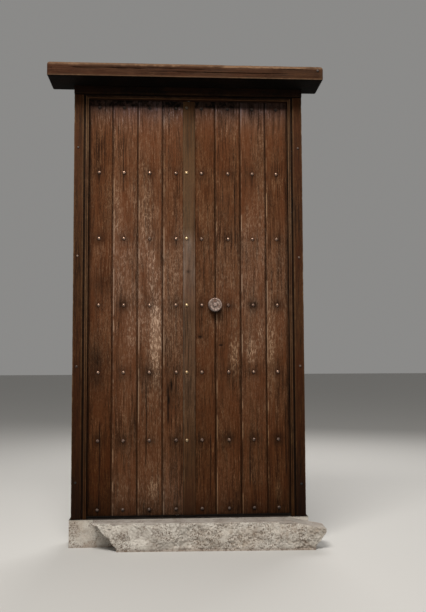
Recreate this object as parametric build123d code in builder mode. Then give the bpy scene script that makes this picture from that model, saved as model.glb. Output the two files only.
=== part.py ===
from build123d import *
import os

# Double plank door with its timber frame, lintel and threshold stone, in millimetres.
# X runs along the wall with 0 where the leaves meet, Y runs into the building with 0 on the
# frame's front face, and Z is up with 0 under the threshold stone. Both leaves open inwards.

# Doorway between the stops
clear_width = 1000.0
clear_height = 2077.0

# Threshold stone: a wide bed under the frame and a rough nosing in front of it
stone_height = 131.0
stone_end_margin = 8.0
stone_back = 130.0
nosing_back = -6.0
nosing_front_left = -94.0
nosing_front_right = -126.0
nosing_left = -462.0
nosing_left_foot = -350.0
nosing_right = 652.0
nosing_right_foot = 600.0
nosing_worn_from = 482.0
nosing_worn_drop = 34.0
nosing_belly_height = 72.0
nosing_arris = 9.0

# Frame
jamb_width = 55.5
strap_jamb_clearance = 3.0
head_height = 46.5
quirk_width = 6.0
quirk_depth = 8.0
stop_width = 18.5
stop_depth = 24.5
reed_width = 8.0
reed_rise = 3.0

# Lintel beam laid on the frame
lintel_left = -689.0
lintel_right = 658.0
lintel_front = -130.0
lintel_height = 78.0
lintel_worn_rise = 16.0
lintel_worn_depth = 24.0
lintel_end_round = 6.0

# Leaves
stop_clearance = 0.5
hang_clearance = 6.5
foot_clearance = 11.0
top_clearance = 4.5
meeting_gap = 4.0
meeting_bevel = 2.0
plank_thickness = 26.0
seam_gap = 3.0
plank_arris = 1.5
tongue_thickness = 8.0
tongue_length = 8.0
tongue_clearance = 0.3

# Planks from the meeting line outwards: width, then how far the nails stand off the centre.
# The outermost plank of each leaf takes the width that is left.
left_planks = ((133.0, 1.5), (124.0, -2.0), (125.0, -5.5))
right_planks = ((131.0, -2.5), (127.0, 2.5), (128.0, -1.0))
left_outer_nail_offset = -2.0
right_outer_nail_offset = -6.0

# Rows of nails, counted up from the bottom one, and the ledges behind them
row_count = 7
first_row_rise = 28.0
top_row_drop = 51.0
ledge_height = 80.0
ledge_thickness = 22.0
ledge_arris = 3.0
ledge_set_back = 25.0
ledge_hang_set_back = 12.0
bottom_ledge_lift = 20.0

# Cover strip over the meeting edges
strip_half_width = 31.0
strip_thickness = 10.0
strip_top_clearance = 3.0
strip_lap_clearance = 0.5
strip_arris = 2.0
strip_nail_x = -12.0

# Nails
nail_head_radius = 8.5
nail_head_height = 5.5
nail_shank_radius = 2.5
nail_point = 6.0
nail_fit = 0.1
nail_cover = 7.0
frame_nail_head_radius = 6.0
frame_nail_head_height = 2.5
frame_nail_length = 46.0
frame_nail_set_in = 33.0
left_frame_nail_rises = (176.0, 737.0, 1281.0, 1826.0)
right_frame_nail_rises = (157.0, 735.0, 1278.0, 1835.0)
iron_nail_head_radius = 6.5
iron_nail_head_height = 3.0
iron_nail_length = 20.0
lintel_nail_end_margin = 26.0
lintel_nail_rise = 47.0
lintel_nail_head_radius = 7.0

# Strap hinges on pintles driven into the jambs
hinge_rows = (1, 3, 5)
pin_radius = 6.0
pin_clearance = 0.08
pin_rise = 8.0
pin_set_in = 27.5
eye_radius = 11.5
strap_height = 38.0
strap_thickness = 5.0
strap_end_x = 190.0
strap_tip_height = 24.0
strap_nail_count = 4
strap_root_margin = 76.0
strap_tip_margin = 26.0
strap_nail_stagger = 10.0
shoulder_height = 12.0
shoulder_radius = 11.0
shoulder_clearance = 0.3
spike_width = 14.0
spike_depth = 45.0
spike_fit = 0.1

# Pull knob, its stem through the leaf and what holds it behind
knob_row = hinge_rows[1]
knob_x = 128.0
knob_radius = 34.5
knob_stand_off = 39.0
knob_boss_radius = 7.0
knob_dish_radius = 27.5
knob_dish_depth = 3.4
knob_rim_set_back = 2.0
knob_edge_front = 8.0
knob_edge_back = 14.0
knob_neck_front = 20.0
knob_neck_radius = 10.0
knob_neck_swell = 1.0
knob_foot_radius = 17.0
knob_foot_thickness = 3.0
knob_foot_flare = 5.0
knob_stem_radius = 8.0
knob_fit = 0.15
washer_radius = 20.0
washer_thickness = 3.0
nut_thickness = 12.0
nut_across_flats = 26.0
stem_end_rise = 3.0

# Sliding bolts
bolt_radius = 8.0
bolt_clearance = 0.3
bolt_stand_off = 11.0
bolt_tip_chamfer = 2.0
bolt_travel = 55.0
bolt_tail = 35.0
bolt_draw_in = 5.0
handle_radius = 5.0
handle_length = 26.0
handle_spare = 10.0
upright_bolt_x = -60.0
loop_radius = 13.5
loop_height = 18.0
loop_flange_half_width = 31.0
loop_flange_thickness = 5.0
loop_nail_x = 22.0
loop_lift = 18.0
cross_bolt_row = knob_row + 1
cross_bolt_tip = 10.0
cross_loop_x = 44.0
keeper_x = -44.0
socket_radius = 11.0
socket_spare = 15.0

# Places worked out from the sizes above
leaf_front = stop_depth + stop_clearance
plank_back = leaf_front + plank_thickness
ledge_back = plank_back + ledge_thickness
jamb_depth = ledge_back - strap_jamb_clearance
rebate_x = clear_width / 2 + stop_width
frame_half_width = rebate_x + jamb_width
leaf_edge = rebate_x - hang_clearance
head_stop_z = stone_height + clear_height
rebate_z = head_stop_z + stop_width
frame_top = rebate_z + head_height
leaf_bottom = stone_height + foot_clearance
leaf_top = rebate_z - top_clearance
row_spacing = (leaf_top - leaf_bottom - first_row_rise - top_row_drop) / (row_count - 1)
rows = [leaf_bottom + first_row_rise + row_spacing * i for i in range(row_count)]
frame_nail_x = rebate_x + frame_nail_set_in
hinge_x = rebate_x + pin_set_in
strap_length = hinge_x - strap_end_x
strap_nail_pitch = (strap_length - strap_root_margin - strap_tip_margin) / (strap_nail_count - 1)
hinge_y = ledge_back + eye_radius
bolt_y = ledge_back + bolt_stand_off
nail_length = plank_thickness + ledge_thickness - nail_cover
strip_nail_length = strip_thickness + plank_thickness - nail_cover
shoulder_top = -strap_height / 2 - shoulder_clearance
bottom_bolt_tip = leaf_bottom + bolt_draw_in
top_bolt_tip = leaf_top - bolt_draw_in
socket_depth = bolt_travel - (bottom_bolt_tip - stone_height) + socket_spare
lower_loops = [rows[0] + loop_lift, rows[1] + loop_lift]
upper_loops = [rows[-2] + loop_lift, rows[-1] + loop_lift]
loop_to_handle = loop_height / 2 + handle_radius
cross_loops = [cross_loop_x, cross_loop_x + 2 * (loop_to_handle + handle_spare) + bolt_travel]
cross_z = rows[cross_bolt_row]

os.makedirs("parts", exist_ok=True)


def save(piece, name):
    piece.label = name
    export_step(piece, f"parts/{name}.step")


def plank_spans(widths, outer_offset):
    # each plank as near edge, far edge and nail line, measured outwards from the meeting line
    spans = []
    near = 0.0
    for width, offset in widths:
        spans.append((near, near + width, near + width / 2 + offset))
        near += width
    spans.append((near, leaf_edge, (near + leaf_edge) / 2 + outer_offset))
    return spans


def along_y(spots, radius, start, depth):
    # round holes bored along Y at each (x, z)
    with BuildSketch(Plane.XZ.offset(-start)) as mouths:
        with Locations(*spots):
            Circle(radius)
    extrude(mouths.sketch, amount=-depth, mode=Mode.SUBTRACT)


def nails(spots, face, head_radius, head_height, length, outwards=-1):
    # domed nails driven along Y, their heads standing on the plane y = face
    with BuildPart() as nail:
        with BuildSketch(Plane.XY):
            with BuildLine():
                top = (0, outwards * head_height)
                rim = (head_radius, 0)
                side = (head_radius * 0.72, outwards * head_height * 0.66)
                ThreePointArc(top, side, rim)
                Polyline(
                    rim,
                    (nail_shank_radius, 0),
                    (nail_shank_radius, -outwards * (length - nail_point)),
                    (0, -outwards * length),
                    top,
                )
            make_face()
        revolve(axis=Axis.Y)
    with BuildPart() as group:
        with Locations(*[(x, face, z) for x, z in spots]):
            add(nail.part)
    return group.part


def plank(span, side, innermost, outermost):
    # one upright board in plan: groove on the edge nearer the meeting line, tongue on the other
    near, far, nail_x = span
    half_seam = seam_gap / 2
    groove_front = leaf_front + (plank_thickness - tongue_thickness) / 2
    groove_back = groove_front + tongue_thickness
    if innermost:
        start = near + meeting_gap / 2
        near_edge = [(start + meeting_bevel, leaf_front), (start, plank_back)]
    else:
        start = near + half_seam
        depth = start + tongue_length - seam_gap + tongue_clearance
        near_edge = [
            (start + plank_arris, leaf_front),
            (start, leaf_front + plank_arris),
            (start, groove_front - tongue_clearance),
            (depth, groove_front - tongue_clearance),
            (depth, groove_back + tongue_clearance),
            (start, groove_back + tongue_clearance),
            (start, plank_back),
        ]
    if outermost:
        far_edge = [(far, plank_back), (far, leaf_front)]
    else:
        end = far - half_seam
        far_edge = [
            (end, plank_back),
            (end, groove_back),
            (end + tongue_length, groove_back),
            (end + tongue_length, groove_front),
            (end, groove_front),
            (end, leaf_front + plank_arris),
            (end - plank_arris, leaf_front),
        ]
    outline = [(side * x, y) for x, y in near_edge + far_edge]
    with BuildPart() as board:
        with BuildSketch(Plane.XY.offset(leaf_bottom)):
            Polygon(*outline, align=None)
        extrude(amount=leaf_top - leaf_bottom)
        along_y([(side * nail_x, z) for z in rows], nail_shank_radius + nail_fit, leaf_front,
                plank_thickness)
        if side > 0:
            along_y([(knob_x, rows[knob_row])], knob_stem_radius + knob_fit, leaf_front,
                    plank_thickness)
        elif innermost:
            along_y([(strip_nail_x, z) for z in rows[1:]], nail_shank_radius + nail_fit,
                    leaf_front, strip_nail_length - strip_thickness + nail_fit)
    return board.part


def ledge(i, side, nail_lines, iron_spots):
    # one level board behind a row of nails
    middle = rows[i] + (bottom_ledge_lift if i == 0 else 0.0)
    length = leaf_edge - ledge_hang_set_back - ledge_set_back
    centre_x = side * (ledge_set_back + length / 2)
    with BuildPart() as board:
        with Locations((centre_x, plank_back + ledge_thickness / 2, middle)):
            Box(length, ledge_thickness, ledge_height)
        back = board.faces().sort_by(Axis.Y)[-1]
        chamfer(back.edges(), ledge_arris)
        along_y([(side * x, rows[i]) for x in nail_lines], nail_shank_radius + nail_fit,
                plank_back, nail_length - plank_thickness + nail_fit)
        held = [(x, z) for x, z in iron_spots if abs(z - middle) < ledge_height / 2]
        if held:
            bore = iron_nail_length - strap_thickness + nail_fit
            along_y(held, nail_shank_radius + nail_fit, ledge_back - bore, bore)
        if side > 0 and i == knob_row:
            along_y([(knob_x, rows[knob_row])], knob_stem_radius + knob_fit, plank_back,
                    ledge_thickness)
    return board.part


def strap_nail_spots(side, row):
    return [
        (side * (hinge_x - strap_root_margin - strap_nail_pitch * i),
         rows[row] + strap_nail_stagger * (-1) ** i)
        for i in range(strap_nail_count)
    ]


def strap(side, row):
    # flat bar tapering to a rounded tip, rolled into an eye round the pintle
    tip = side * (hinge_x - strap_length)
    root = side * hinge_x
    tip_radius = strap_tip_height / 2
    with BuildPart() as bar:
        with BuildSketch(Plane.XZ.offset(-ledge_back)):
            with Locations((0, rows[row])):
                Polygon(
                    (root, -strap_height / 2),
                    (root, strap_height / 2),
                    (root - side * strap_length * 0.3, strap_height / 2),
                    (tip + side * tip_radius, tip_radius),
                    (tip + side * tip_radius, -tip_radius),
                    (root - side * strap_length * 0.3, -strap_height / 2),
                    align=None,
                )
            with Locations((tip + side * tip_radius, rows[row])):
                Circle(tip_radius)
        extrude(amount=-strap_thickness)
        with Locations((root, hinge_y, rows[row])):
            Cylinder(eye_radius, strap_height)
            Cylinder(pin_radius + pin_clearance, strap_height, mode=Mode.SUBTRACT)
        along_y(strap_nail_spots(side, row), nail_shank_radius + nail_fit, ledge_back,
                strap_thickness)
    return bar.part


def pintles(side):
    # upright pins on square spikes driven into the back of the jamb
    spike_start = jamb_depth - spike_depth
    with BuildPart() as pins:
        for row in hinge_rows:
            top = rows[row] + shoulder_top
            with Locations((side * hinge_x, hinge_y, top - shoulder_height / 2)):
                Cylinder(shoulder_radius, shoulder_height)
            with Locations((side * hinge_x, (spike_start + hinge_y) / 2, top - shoulder_height / 2)):
                Box(spike_width, hinge_y - spike_start, shoulder_height)
            pin_length = shoulder_clearance + strap_height + pin_rise
            with Locations((side * hinge_x, hinge_y, top + pin_length / 2)):
                Cylinder(pin_radius, pin_length)
    return pins.part


def jamb(side, nail_rises):
    with BuildPart() as post:
        with BuildSketch(Plane.XY.offset(stone_height)):
            Polygon(
                (side * rebate_x, quirk_depth),
                (side * (rebate_x + quirk_width), quirk_depth),
                (side * (rebate_x + quirk_width), 0),
                (side * frame_half_width, 0),
                (side * frame_half_width, jamb_depth),
                (side * rebate_x, jamb_depth),
                align=None,
            )
        extrude(amount=rebate_z - stone_height)
        along_y([(side * frame_nail_x, stone_height + rise) for rise in nail_rises],
                nail_shank_radius + nail_fit, 0, frame_nail_length + nail_fit)
        spike_fit_depth = spike_depth + spike_fit
        for row in hinge_rows:
            middle = rows[row] + shoulder_top - shoulder_height / 2
            with Locations((side * hinge_x, jamb_depth - spike_fit_depth / 2, middle)):
                Box(spike_width + 2 * spike_fit, spike_fit_depth, shoulder_height + 2 * spike_fit,
                    mode=Mode.SUBTRACT)
    return post.part


def stop_section(side, level):
    # section of the stop in plan: two reeds on its front, flat behind
    inner = clear_width / 2
    first = inner + reed_width
    second = first + reed_width
    with BuildSketch(Plane.XY.offset(level)) as section:
        with BuildLine():
            ThreePointArc((side * inner, reed_rise), (side * (inner + first) / 2, 0),
                          (side * first, reed_rise))
            ThreePointArc((side * first, reed_rise), (side * (first + second) / 2, 0),
                          (side * second, reed_rise))
            Polyline(
                (side * second, reed_rise),
                (side * rebate_x, reed_rise),
                (side * rebate_x, stop_depth),
                (side * inner, stop_depth),
                (side * inner, reed_rise),
            )
        make_face()
    return section.sketch


def side_stop(side):
    with BuildPart() as bead:
        extrude(stop_section(side, stone_height), amount=rebate_z - stone_height)
        mitre = Plane(origin=(side * clear_width / 2, 0, head_stop_z), z_dir=(side, 0, -1))
        split(bisect_by=mitre, keep=Keep.TOP)
    return bead.part


def bolt_loop(base):
    # forged loop round a bolt that runs along Z through 0, nailed to a face at y = -base
    with BuildPart() as loop:
        with BuildSketch(Plane.XY.offset(-loop_height / 2)):
            Circle(loop_radius)
            with Locations((0, -base / 2)):
                Rectangle(2 * loop_radius, base)
            with Locations((0, -base + loop_flange_thickness / 2)):
                Rectangle(2 * loop_flange_half_width, loop_flange_thickness)
            with Locations((0, -base - loop_radius)):
                Rectangle(2 * loop_radius, 2 * loop_radius, mode=Mode.SUBTRACT)
            Circle(bolt_radius + bolt_clearance, mode=Mode.SUBTRACT)
        extrude(amount=loop_height)
        along_y([(-loop_nail_x, 0), (loop_nail_x, 0)], nail_shank_radius + nail_fit, -base,
                loop_flange_thickness)
    return loop.part


def bolt_bar(length, handle_place):
    # round bar from its tip at z = 0 down to z = -length, with a handle pin on its far side
    with BuildPart() as bar:
        with Locations((0, 0, -length / 2)):
            Cylinder(bolt_radius, length)
        chamfer(bar.edges().group_by(Axis.Z)[-1], bolt_tip_chamfer)
        with BuildSketch(Plane.XZ):
            with Locations((0, -handle_place)):
                Circle(handle_radius)
        extrude(amount=-(bolt_radius + handle_length))
        chamfer(bar.edges().group_by(Axis.Y)[-1], bolt_tip_chamfer)
    return bar.part


def placed(piece, *places):
    with BuildPart() as group:
        with Locations(*places):
            add(piece)
    return group.part


# Threshold stone
with BuildPart() as stone:
    with BuildSketch(Plane.XY):
        Polygon(
            (nosing_left, nosing_front_left),
            (nosing_right, nosing_front_right),
            (nosing_right, nosing_back),
            (nosing_left, nosing_back),
            align=None,
        )
    extrude(amount=stone_height)
    with BuildSketch(Plane.XZ):
        Polygon(
            (nosing_left, stone_height),
            (nosing_left_foot, 0),
            (nosing_right_foot, 0),
            (nosing_right, nosing_belly_height),
            (nosing_right, stone_height - nosing_worn_drop),
            (nosing_worn_from, stone_height),
            align=None,
        )
    extrude(amount=stone_back, both=True, mode=Mode.INTERSECT)
    nosing_top = stone.faces().filter_by(Axis.Z).sort_by(Axis.Z)[-1]
    chamfer(nosing_top.edges().sort_by(Axis.Y)[0], nosing_arris)
    with Locations((0, (nosing_back + stone_back) / 2, stone_height / 2)):
        Box(2 * (frame_half_width + stone_end_margin), stone_back - nosing_back, stone_height)
    with BuildSketch(Plane.XY.offset(stone_height)):
        with Locations((upright_bolt_x, bolt_y)):
            Circle(socket_radius)
    extrude(amount=-socket_depth, mode=Mode.SUBTRACT)
save(stone.part, "threshold_stone")

# Frame head and lintel
with BuildPart() as head:
    with BuildSketch(Plane.YZ.offset(-frame_half_width)):
        Polygon(
            (quirk_depth, rebate_z),
            (quirk_depth, rebate_z + quirk_width),
            (0, rebate_z + quirk_width),
            (0, frame_top),
            (jamb_depth, frame_top),
            (jamb_depth, rebate_z),
            align=None,
        )
    extrude(amount=2 * frame_half_width)
    keep_bore = iron_nail_length - loop_flange_thickness + nail_fit
    keep_z = rebate_z + head_height / 2
    along_y([(upright_bolt_x - loop_nail_x, keep_z), (upright_bolt_x + loop_nail_x, keep_z)],
            nail_shank_radius + nail_fit, jamb_depth - keep_bore, keep_bore)
save(head.part, "frame_head")

with BuildPart() as lintel:
    lintel_top = frame_top + lintel_height
    with BuildSketch(Plane.YZ.offset(lintel_left)):
        Polygon(
            (lintel_front, frame_top),
            (lintel_front, lintel_top - lintel_worn_rise),
            (lintel_front + lintel_worn_depth, lintel_top),
            (jamb_depth, lintel_top),
            (jamb_depth, frame_top),
            align=None,
        )
    extrude(amount=lintel_right - lintel_left)
    ends = lintel.edges().filter_by(Axis.Z).group_by(Axis.Y)[0]
    fillet(ends, lintel_end_round)
    lintel_nail_spot = (lintel_right - lintel_nail_end_margin, frame_top + lintel_nail_rise)
    along_y([lintel_nail_spot], nail_shank_radius + nail_fit, lintel_front,
            frame_nail_length + nail_fit)
save(lintel.part, "lintel_beam")
save(nails([lintel_nail_spot], lintel_front, lintel_nail_head_radius, frame_nail_head_height,
           frame_nail_length), "lintel_nail")

# Jambs, stops and what is driven into them
for side, name, nail_rises in (
    (-1, "left", left_frame_nail_rises),
    (1, "right", right_frame_nail_rises),
):
    save(jamb(side, nail_rises), f"jamb_{name}")
    save(side_stop(side), f"stop_{name}")
    save(pintles(side), f"pintles_{name}")

with BuildPart() as head_bead:
    extrude(stop_section(1, -frame_half_width), amount=2 * frame_half_width)
head_stop = head_bead.part.moved(Location((-clear_width / 2, 0, 0)))
with BuildPart() as stop_head:
    add(head_stop, rotation=(0, -90, 0))
    for side in (-1, 1):
        low = Plane(origin=(side * clear_width / 2, 0, 0), z_dir=(-side, 0, 1))
        split(bisect_by=low, keep=Keep.TOP)
save(stop_head.part.moved(Location((0, 0, head_stop_z))), "stop_head")

frame_nail_spots = [(-frame_nail_x, stone_height + rise) for rise in left_frame_nail_rises]
frame_nail_spots += [(frame_nail_x, stone_height + rise) for rise in right_frame_nail_rises]
save(nails(frame_nail_spots, 0, frame_nail_head_radius, frame_nail_head_height,
           frame_nail_length), "jamb_nails")

# Nails of the straps and loops on the back of each leaf
left_iron_spots = [
    (upright_bolt_x + way * loop_nail_x, z) for z in lower_loops + upper_loops for way in (-1, 1)
]
left_iron_spots += [(keeper_x, cross_z + way * loop_nail_x) for way in (-1, 1)]
right_iron_spots = [(x, cross_z + way * loop_nail_x) for x in cross_loops for way in (-1, 1)]
for row in hinge_rows:
    left_iron_spots += strap_nail_spots(-1, row)
    right_iron_spots += strap_nail_spots(1, row)

# Leaves
first_plank = {-1: (4, -1), 1: (5, 1)}
for side, name, widths, outer_offset, iron_spots in (
    (-1, "left", left_planks, left_outer_nail_offset, left_iron_spots),
    (1, "right", right_planks, right_outer_nail_offset, right_iron_spots),
):
    offsets = [(width, side * offset) for width, offset in widths]
    spans = plank_spans(offsets, side * outer_offset)
    number, step = first_plank[side]
    for k, span in enumerate(spans):
        board = plank(span, side, k == 0, k == len(spans) - 1)
        save(board, f"plank_{number + step * k}")
    nail_lines = [nail_x for near, far, nail_x in spans]
    for i in range(row_count):
        save(ledge(i, side, nail_lines, iron_spots), f"{name}_ledge_{i + 1}")
    save(nails([(side * x, z) for x in nail_lines for z in rows], leaf_front, nail_head_radius,
               nail_head_height, nail_length), f"{name}_plank_nails")
    for n, row in enumerate(hinge_rows):
        save(strap(side, row), f"{name}_strap_{n + 1}")
    save(nails(iron_spots, ledge_back + strap_thickness, iron_nail_head_radius,
               iron_nail_head_height, iron_nail_length, outwards=1), f"{name}_iron_nails")

# Cover strip, nailed to the left leaf and lapping the right one
with BuildPart() as strip:
    strip_front = leaf_front - strip_thickness
    lap_back = leaf_front - strip_lap_clearance
    with BuildSketch(Plane.XY.offset(leaf_bottom)):
        Polygon(
            (-strip_half_width, leaf_front),
            (-strip_half_width, strip_front + strip_arris),
            (-strip_half_width + strip_arris, strip_front),
            (strip_half_width - strip_arris, strip_front),
            (strip_half_width, strip_front + strip_arris),
            (strip_half_width, lap_back),
            (0, lap_back),
            (0, leaf_front),
            align=None,
        )
    extrude(amount=head_stop_z - strip_top_clearance - leaf_bottom)
    along_y([(strip_nail_x, z) for z in rows[1:]], nail_shank_radius + nail_fit, strip_front,
            strip_thickness)
save(strip.part, "cover_strip")
save(nails([(strip_nail_x, z) for z in rows[1:]], strip_front, nail_head_radius,
           nail_head_height, strip_nail_length), "strip_nails")

# Pull knob: face and neck turned in one with the stem
with BuildPart() as knob:
    with BuildSketch(Plane.XY):
        with BuildLine():
            face = leaf_front - knob_stand_off
            stem_end = ledge_back + washer_thickness + nut_thickness + stem_end_rise
            boss_edge = (knob_boss_radius, face)
            dish = ((knob_boss_radius + knob_dish_radius) / 2, face + knob_dish_depth)
            rim_front = (knob_dish_radius, face + knob_rim_set_back)
            rim = ((knob_dish_radius + knob_radius) / 2, face + knob_rim_set_back)
            edge_front = (knob_radius, face + knob_edge_front)
            edge_back = (knob_radius, face + knob_edge_back)
            neck_front = (knob_neck_radius, face + knob_neck_front)
            foot_front = (knob_foot_radius, leaf_front - knob_foot_thickness)
            flare = (knob_neck_radius + knob_neck_swell, foot_front[1] - knob_foot_flare)
            Line((0, face), boss_edge)
            ThreePointArc(boss_edge, dish, rim_front)
            ThreePointArc(rim_front, rim, edge_front)
            Polyline(edge_front, edge_back, neck_front)
            ThreePointArc(neck_front, flare, foot_front)
            Polyline(
                foot_front,
                (knob_foot_radius, leaf_front),
                (knob_stem_radius, leaf_front),
                (knob_stem_radius, stem_end),
                (0, stem_end),
                (0, face),
            )
        make_face()
    revolve(axis=Axis.Y)
knob_place = Location((knob_x, 0, rows[knob_row]))
save(placed(knob.part, knob_place), "pull_knob")

with BuildPart() as washer:
    with BuildSketch(Plane.XZ.offset(-ledge_back)):
        Circle(washer_radius)
        Circle(knob_stem_radius + knob_fit, mode=Mode.SUBTRACT)
    extrude(amount=-washer_thickness)
save(placed(washer.part, knob_place), "knob_washer")

with BuildPart() as nut:
    with BuildSketch(Plane.XZ.offset(-(ledge_back + washer_thickness))):
        RegularPolygon(nut_across_flats / 2, 6, major_radius=False)
        Circle(knob_stem_radius + knob_fit, mode=Mode.SUBTRACT)
    extrude(amount=-nut_thickness)
save(placed(nut.part, knob_place), "knob_nut")

# Upright bolts on the left leaf, with their loops and the keep on the frame head
leaf_loop = bolt_loop(bolt_stand_off)
keep_loop = bolt_loop(bolt_y - jamb_depth)
upright = (upright_bolt_x, bolt_y)
save(placed(leaf_loop, *[Location((*upright, z)) for z in lower_loops]), "bottom_bolt_loops")
save(placed(leaf_loop, *[Location((*upright, z)) for z in upper_loops]), "top_bolt_loops")
save(placed(keep_loop, Location((*upright, keep_z))), "top_bolt_keep")
save(nails([(upright_bolt_x - loop_nail_x, keep_z), (upright_bolt_x + loop_nail_x, keep_z)],
           jamb_depth + loop_flange_thickness, iron_nail_head_radius, iron_nail_head_height,
           iron_nail_length, outwards=1), "keep_nails")

top_handle_z = upper_loops[0] + loop_to_handle
top_bar = bolt_bar(top_bolt_tip - upper_loops[0] + bolt_tail, top_bolt_tip - top_handle_z)
save(placed(top_bar, Location((*upright, top_bolt_tip))), "top_bolt")
bottom_handle_z = lower_loops[1] - loop_to_handle - handle_spare
bottom_bar = bolt_bar(lower_loops[1] + bolt_tail - bottom_bolt_tip,
                      bottom_handle_z - bottom_bolt_tip)
with BuildPart() as bottom_bolt:
    add(bottom_bar, rotation=(180, 0, 180))
save(placed(bottom_bolt.part, Location((*upright, bottom_bolt_tip))), "bottom_bolt")

# Cross bolt on the right leaf and its keeper on the left one
on_side = (0, -90, 0)
cross_places = [Location((x, bolt_y, cross_z), on_side) for x in cross_loops]
save(placed(leaf_loop, *cross_places), "cross_bolt_loops")
save(placed(leaf_loop, Location((keeper_x, bolt_y, cross_z), on_side)), "cross_bolt_keeper")
cross_handle_x = cross_loops[1] - loop_to_handle - handle_spare
cross_bar = bolt_bar(cross_loops[1] + bolt_tail - cross_bolt_tip, cross_handle_x - cross_bolt_tip)
save(placed(cross_bar, Location((cross_bolt_tip, bolt_y, cross_z), on_side)), "cross_bolt")
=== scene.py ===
import bmesh
import bpy
import math
import numpy as np
from mathutils import Matrix, Vector


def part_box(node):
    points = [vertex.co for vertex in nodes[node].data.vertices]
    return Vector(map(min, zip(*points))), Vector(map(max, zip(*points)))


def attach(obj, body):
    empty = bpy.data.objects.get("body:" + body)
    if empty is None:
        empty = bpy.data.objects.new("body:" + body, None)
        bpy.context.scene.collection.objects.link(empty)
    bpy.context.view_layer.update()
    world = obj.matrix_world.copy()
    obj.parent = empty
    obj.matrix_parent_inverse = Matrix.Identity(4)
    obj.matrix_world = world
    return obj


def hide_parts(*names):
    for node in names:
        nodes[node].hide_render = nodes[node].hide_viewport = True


# The looks of a weathered double plank door with its frame, lintel and threshold stone.
# Metres throughout: X along the wall, Y into the building, Z up, 0 under the threshold stone.

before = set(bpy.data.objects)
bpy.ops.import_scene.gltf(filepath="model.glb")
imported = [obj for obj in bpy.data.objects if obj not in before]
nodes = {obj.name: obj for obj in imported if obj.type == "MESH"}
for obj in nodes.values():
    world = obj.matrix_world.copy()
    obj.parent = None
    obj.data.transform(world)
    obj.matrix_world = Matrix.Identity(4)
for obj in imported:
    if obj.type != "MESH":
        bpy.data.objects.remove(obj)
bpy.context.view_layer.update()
print("frame loaded,", len(nodes), "solids")

# Camera, lights and floor

cameraPlan = {
    "place": (-0.096, -3.611, 0.927),
    "pitch": 3.76,  # degrees above the level
    "yaw": 3.39,  # degrees towards +X
    "roll": -0.20,
    "lens": 42.94,
    "film": 36.0,
    "reach": 100.0,
}

lightPlan = {
    "sky": {"place": (-0.7, -2.5, 4.7), "aim": (0.0, 0.0, 1.15), "size": (2.2, 1.4), "power": 252.0,
            "colour": (1.0, 0.97, 0.93)},
    "fill": {"place": (1.6, -4.6, 1.9), "aim": (0.0, 0.0, 1.1), "size": (3.0, 3.0), "power": 20.0,
             "colour": (1.0, 0.98, 0.96)},
    "back": {"place": (1.2, 3.4, 3.4), "aim": (0.0, 0.1, 1.1), "size": (3.0, 2.0), "power": 120.0,
             "colour": (1.0, 0.98, 0.96)},
}
worldPlan = {"colour": (0.80, 0.79, 0.77, 1.0), "strength": 0.32}
floorPlan = {"half": 30.0, "colour": (0.50, 0.49, 0.47, 1.0), "roughness": 0.9}


def addObject(name, data):
    # a new object in the scene's own collection
    made = bpy.data.objects.new(name, data)
    bpy.context.scene.collection.objects.link(made)
    return made


def aimCamera(plan):
    # right, up and forward from pitch and yaw, then right and up turned by the roll
    pitch, yaw, roll = (math.radians(plan[k]) for k in ("pitch", "yaw", "roll"))
    forward = Vector((math.sin(yaw) * math.cos(pitch), math.cos(yaw) * math.cos(pitch), math.sin(pitch)))
    level = Vector((math.cos(yaw), -math.sin(yaw), 0.0))
    lift = level.cross(forward)
    right = math.cos(roll) * level + math.sin(roll) * lift
    up = -math.sin(roll) * level + math.cos(roll) * lift
    data = bpy.data.cameras.new("doorCamera")
    data.sensor_width = plan["film"]
    data.lens = plan["lens"]
    data.clip_end = plan["reach"]
    camera = addObject("doorCamera", data)
    turn = Matrix((right, up, -forward)).transposed().to_4x4()
    camera.matrix_world = Matrix.Translation(plan["place"]) @ turn
    bpy.context.scene.camera = camera


def softPanel(name, plan):
    # a rectangular lamp that faces its aim point
    data = bpy.data.lights.new(name, "AREA")
    data.shape = "RECTANGLE"
    data.size, data.size_y = plan["size"]
    data.energy = plan["power"]
    data.color = plan["colour"]
    lamp = addObject(name, data)
    lamp.location = plan["place"]
    lamp.rotation_euler = (Vector(plan["aim"]) - Vector(plan["place"])).to_track_quat("-Z", "Y").to_euler()


def plainStage(plan):
    # a wide plain floor under the door, which is no part of it
    half = plan["half"]
    mesh = bpy.data.meshes.new("studioFloor")
    mesh.from_pydata([(-half, -half, 0), (half, -half, 0), (half, half, 0), (-half, half, 0)], [],
                     [(0, 1, 2, 3)])
    floor = addObject("studioFloor", mesh)
    material = bpy.data.materials.new("studioFloor")
    material.use_nodes = True
    surface = material.node_tree.nodes["Principled BSDF"].inputs
    surface["Base Color"].default_value = plan["colour"]
    surface["Roughness"].default_value = plan["roughness"]
    mesh.materials.append(material)


def paleWorld(plan):
    # an even pale sky, with colours shown as they are
    world = bpy.data.worlds.new("paleRoom")
    world.use_nodes = True
    sky = world.node_tree.nodes["Background"].inputs
    sky["Color"].default_value = plan["colour"]
    sky["Strength"].default_value = plan["strength"]
    bpy.context.scene.world = world
    bpy.context.scene.view_settings.view_transform = "Standard"
    bpy.context.scene.view_settings.look = "None"


aimCamera(cameraPlan)
for lampName, lampPlan in lightPlan.items():
    softPanel(lampName + "Panel", lampPlan)
plainStage(floorPlan)
paleWorld(worldPlan)
print("camera, lamps and floor set")

# Noise, curves and colours shared by the pieces

cellPrimes, seedPrime, mixPrime = (73856093, 19349663, 83492791), 2654435, 1274126177
fullWord = 0xFFFFFFFF  # 32 bits


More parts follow.
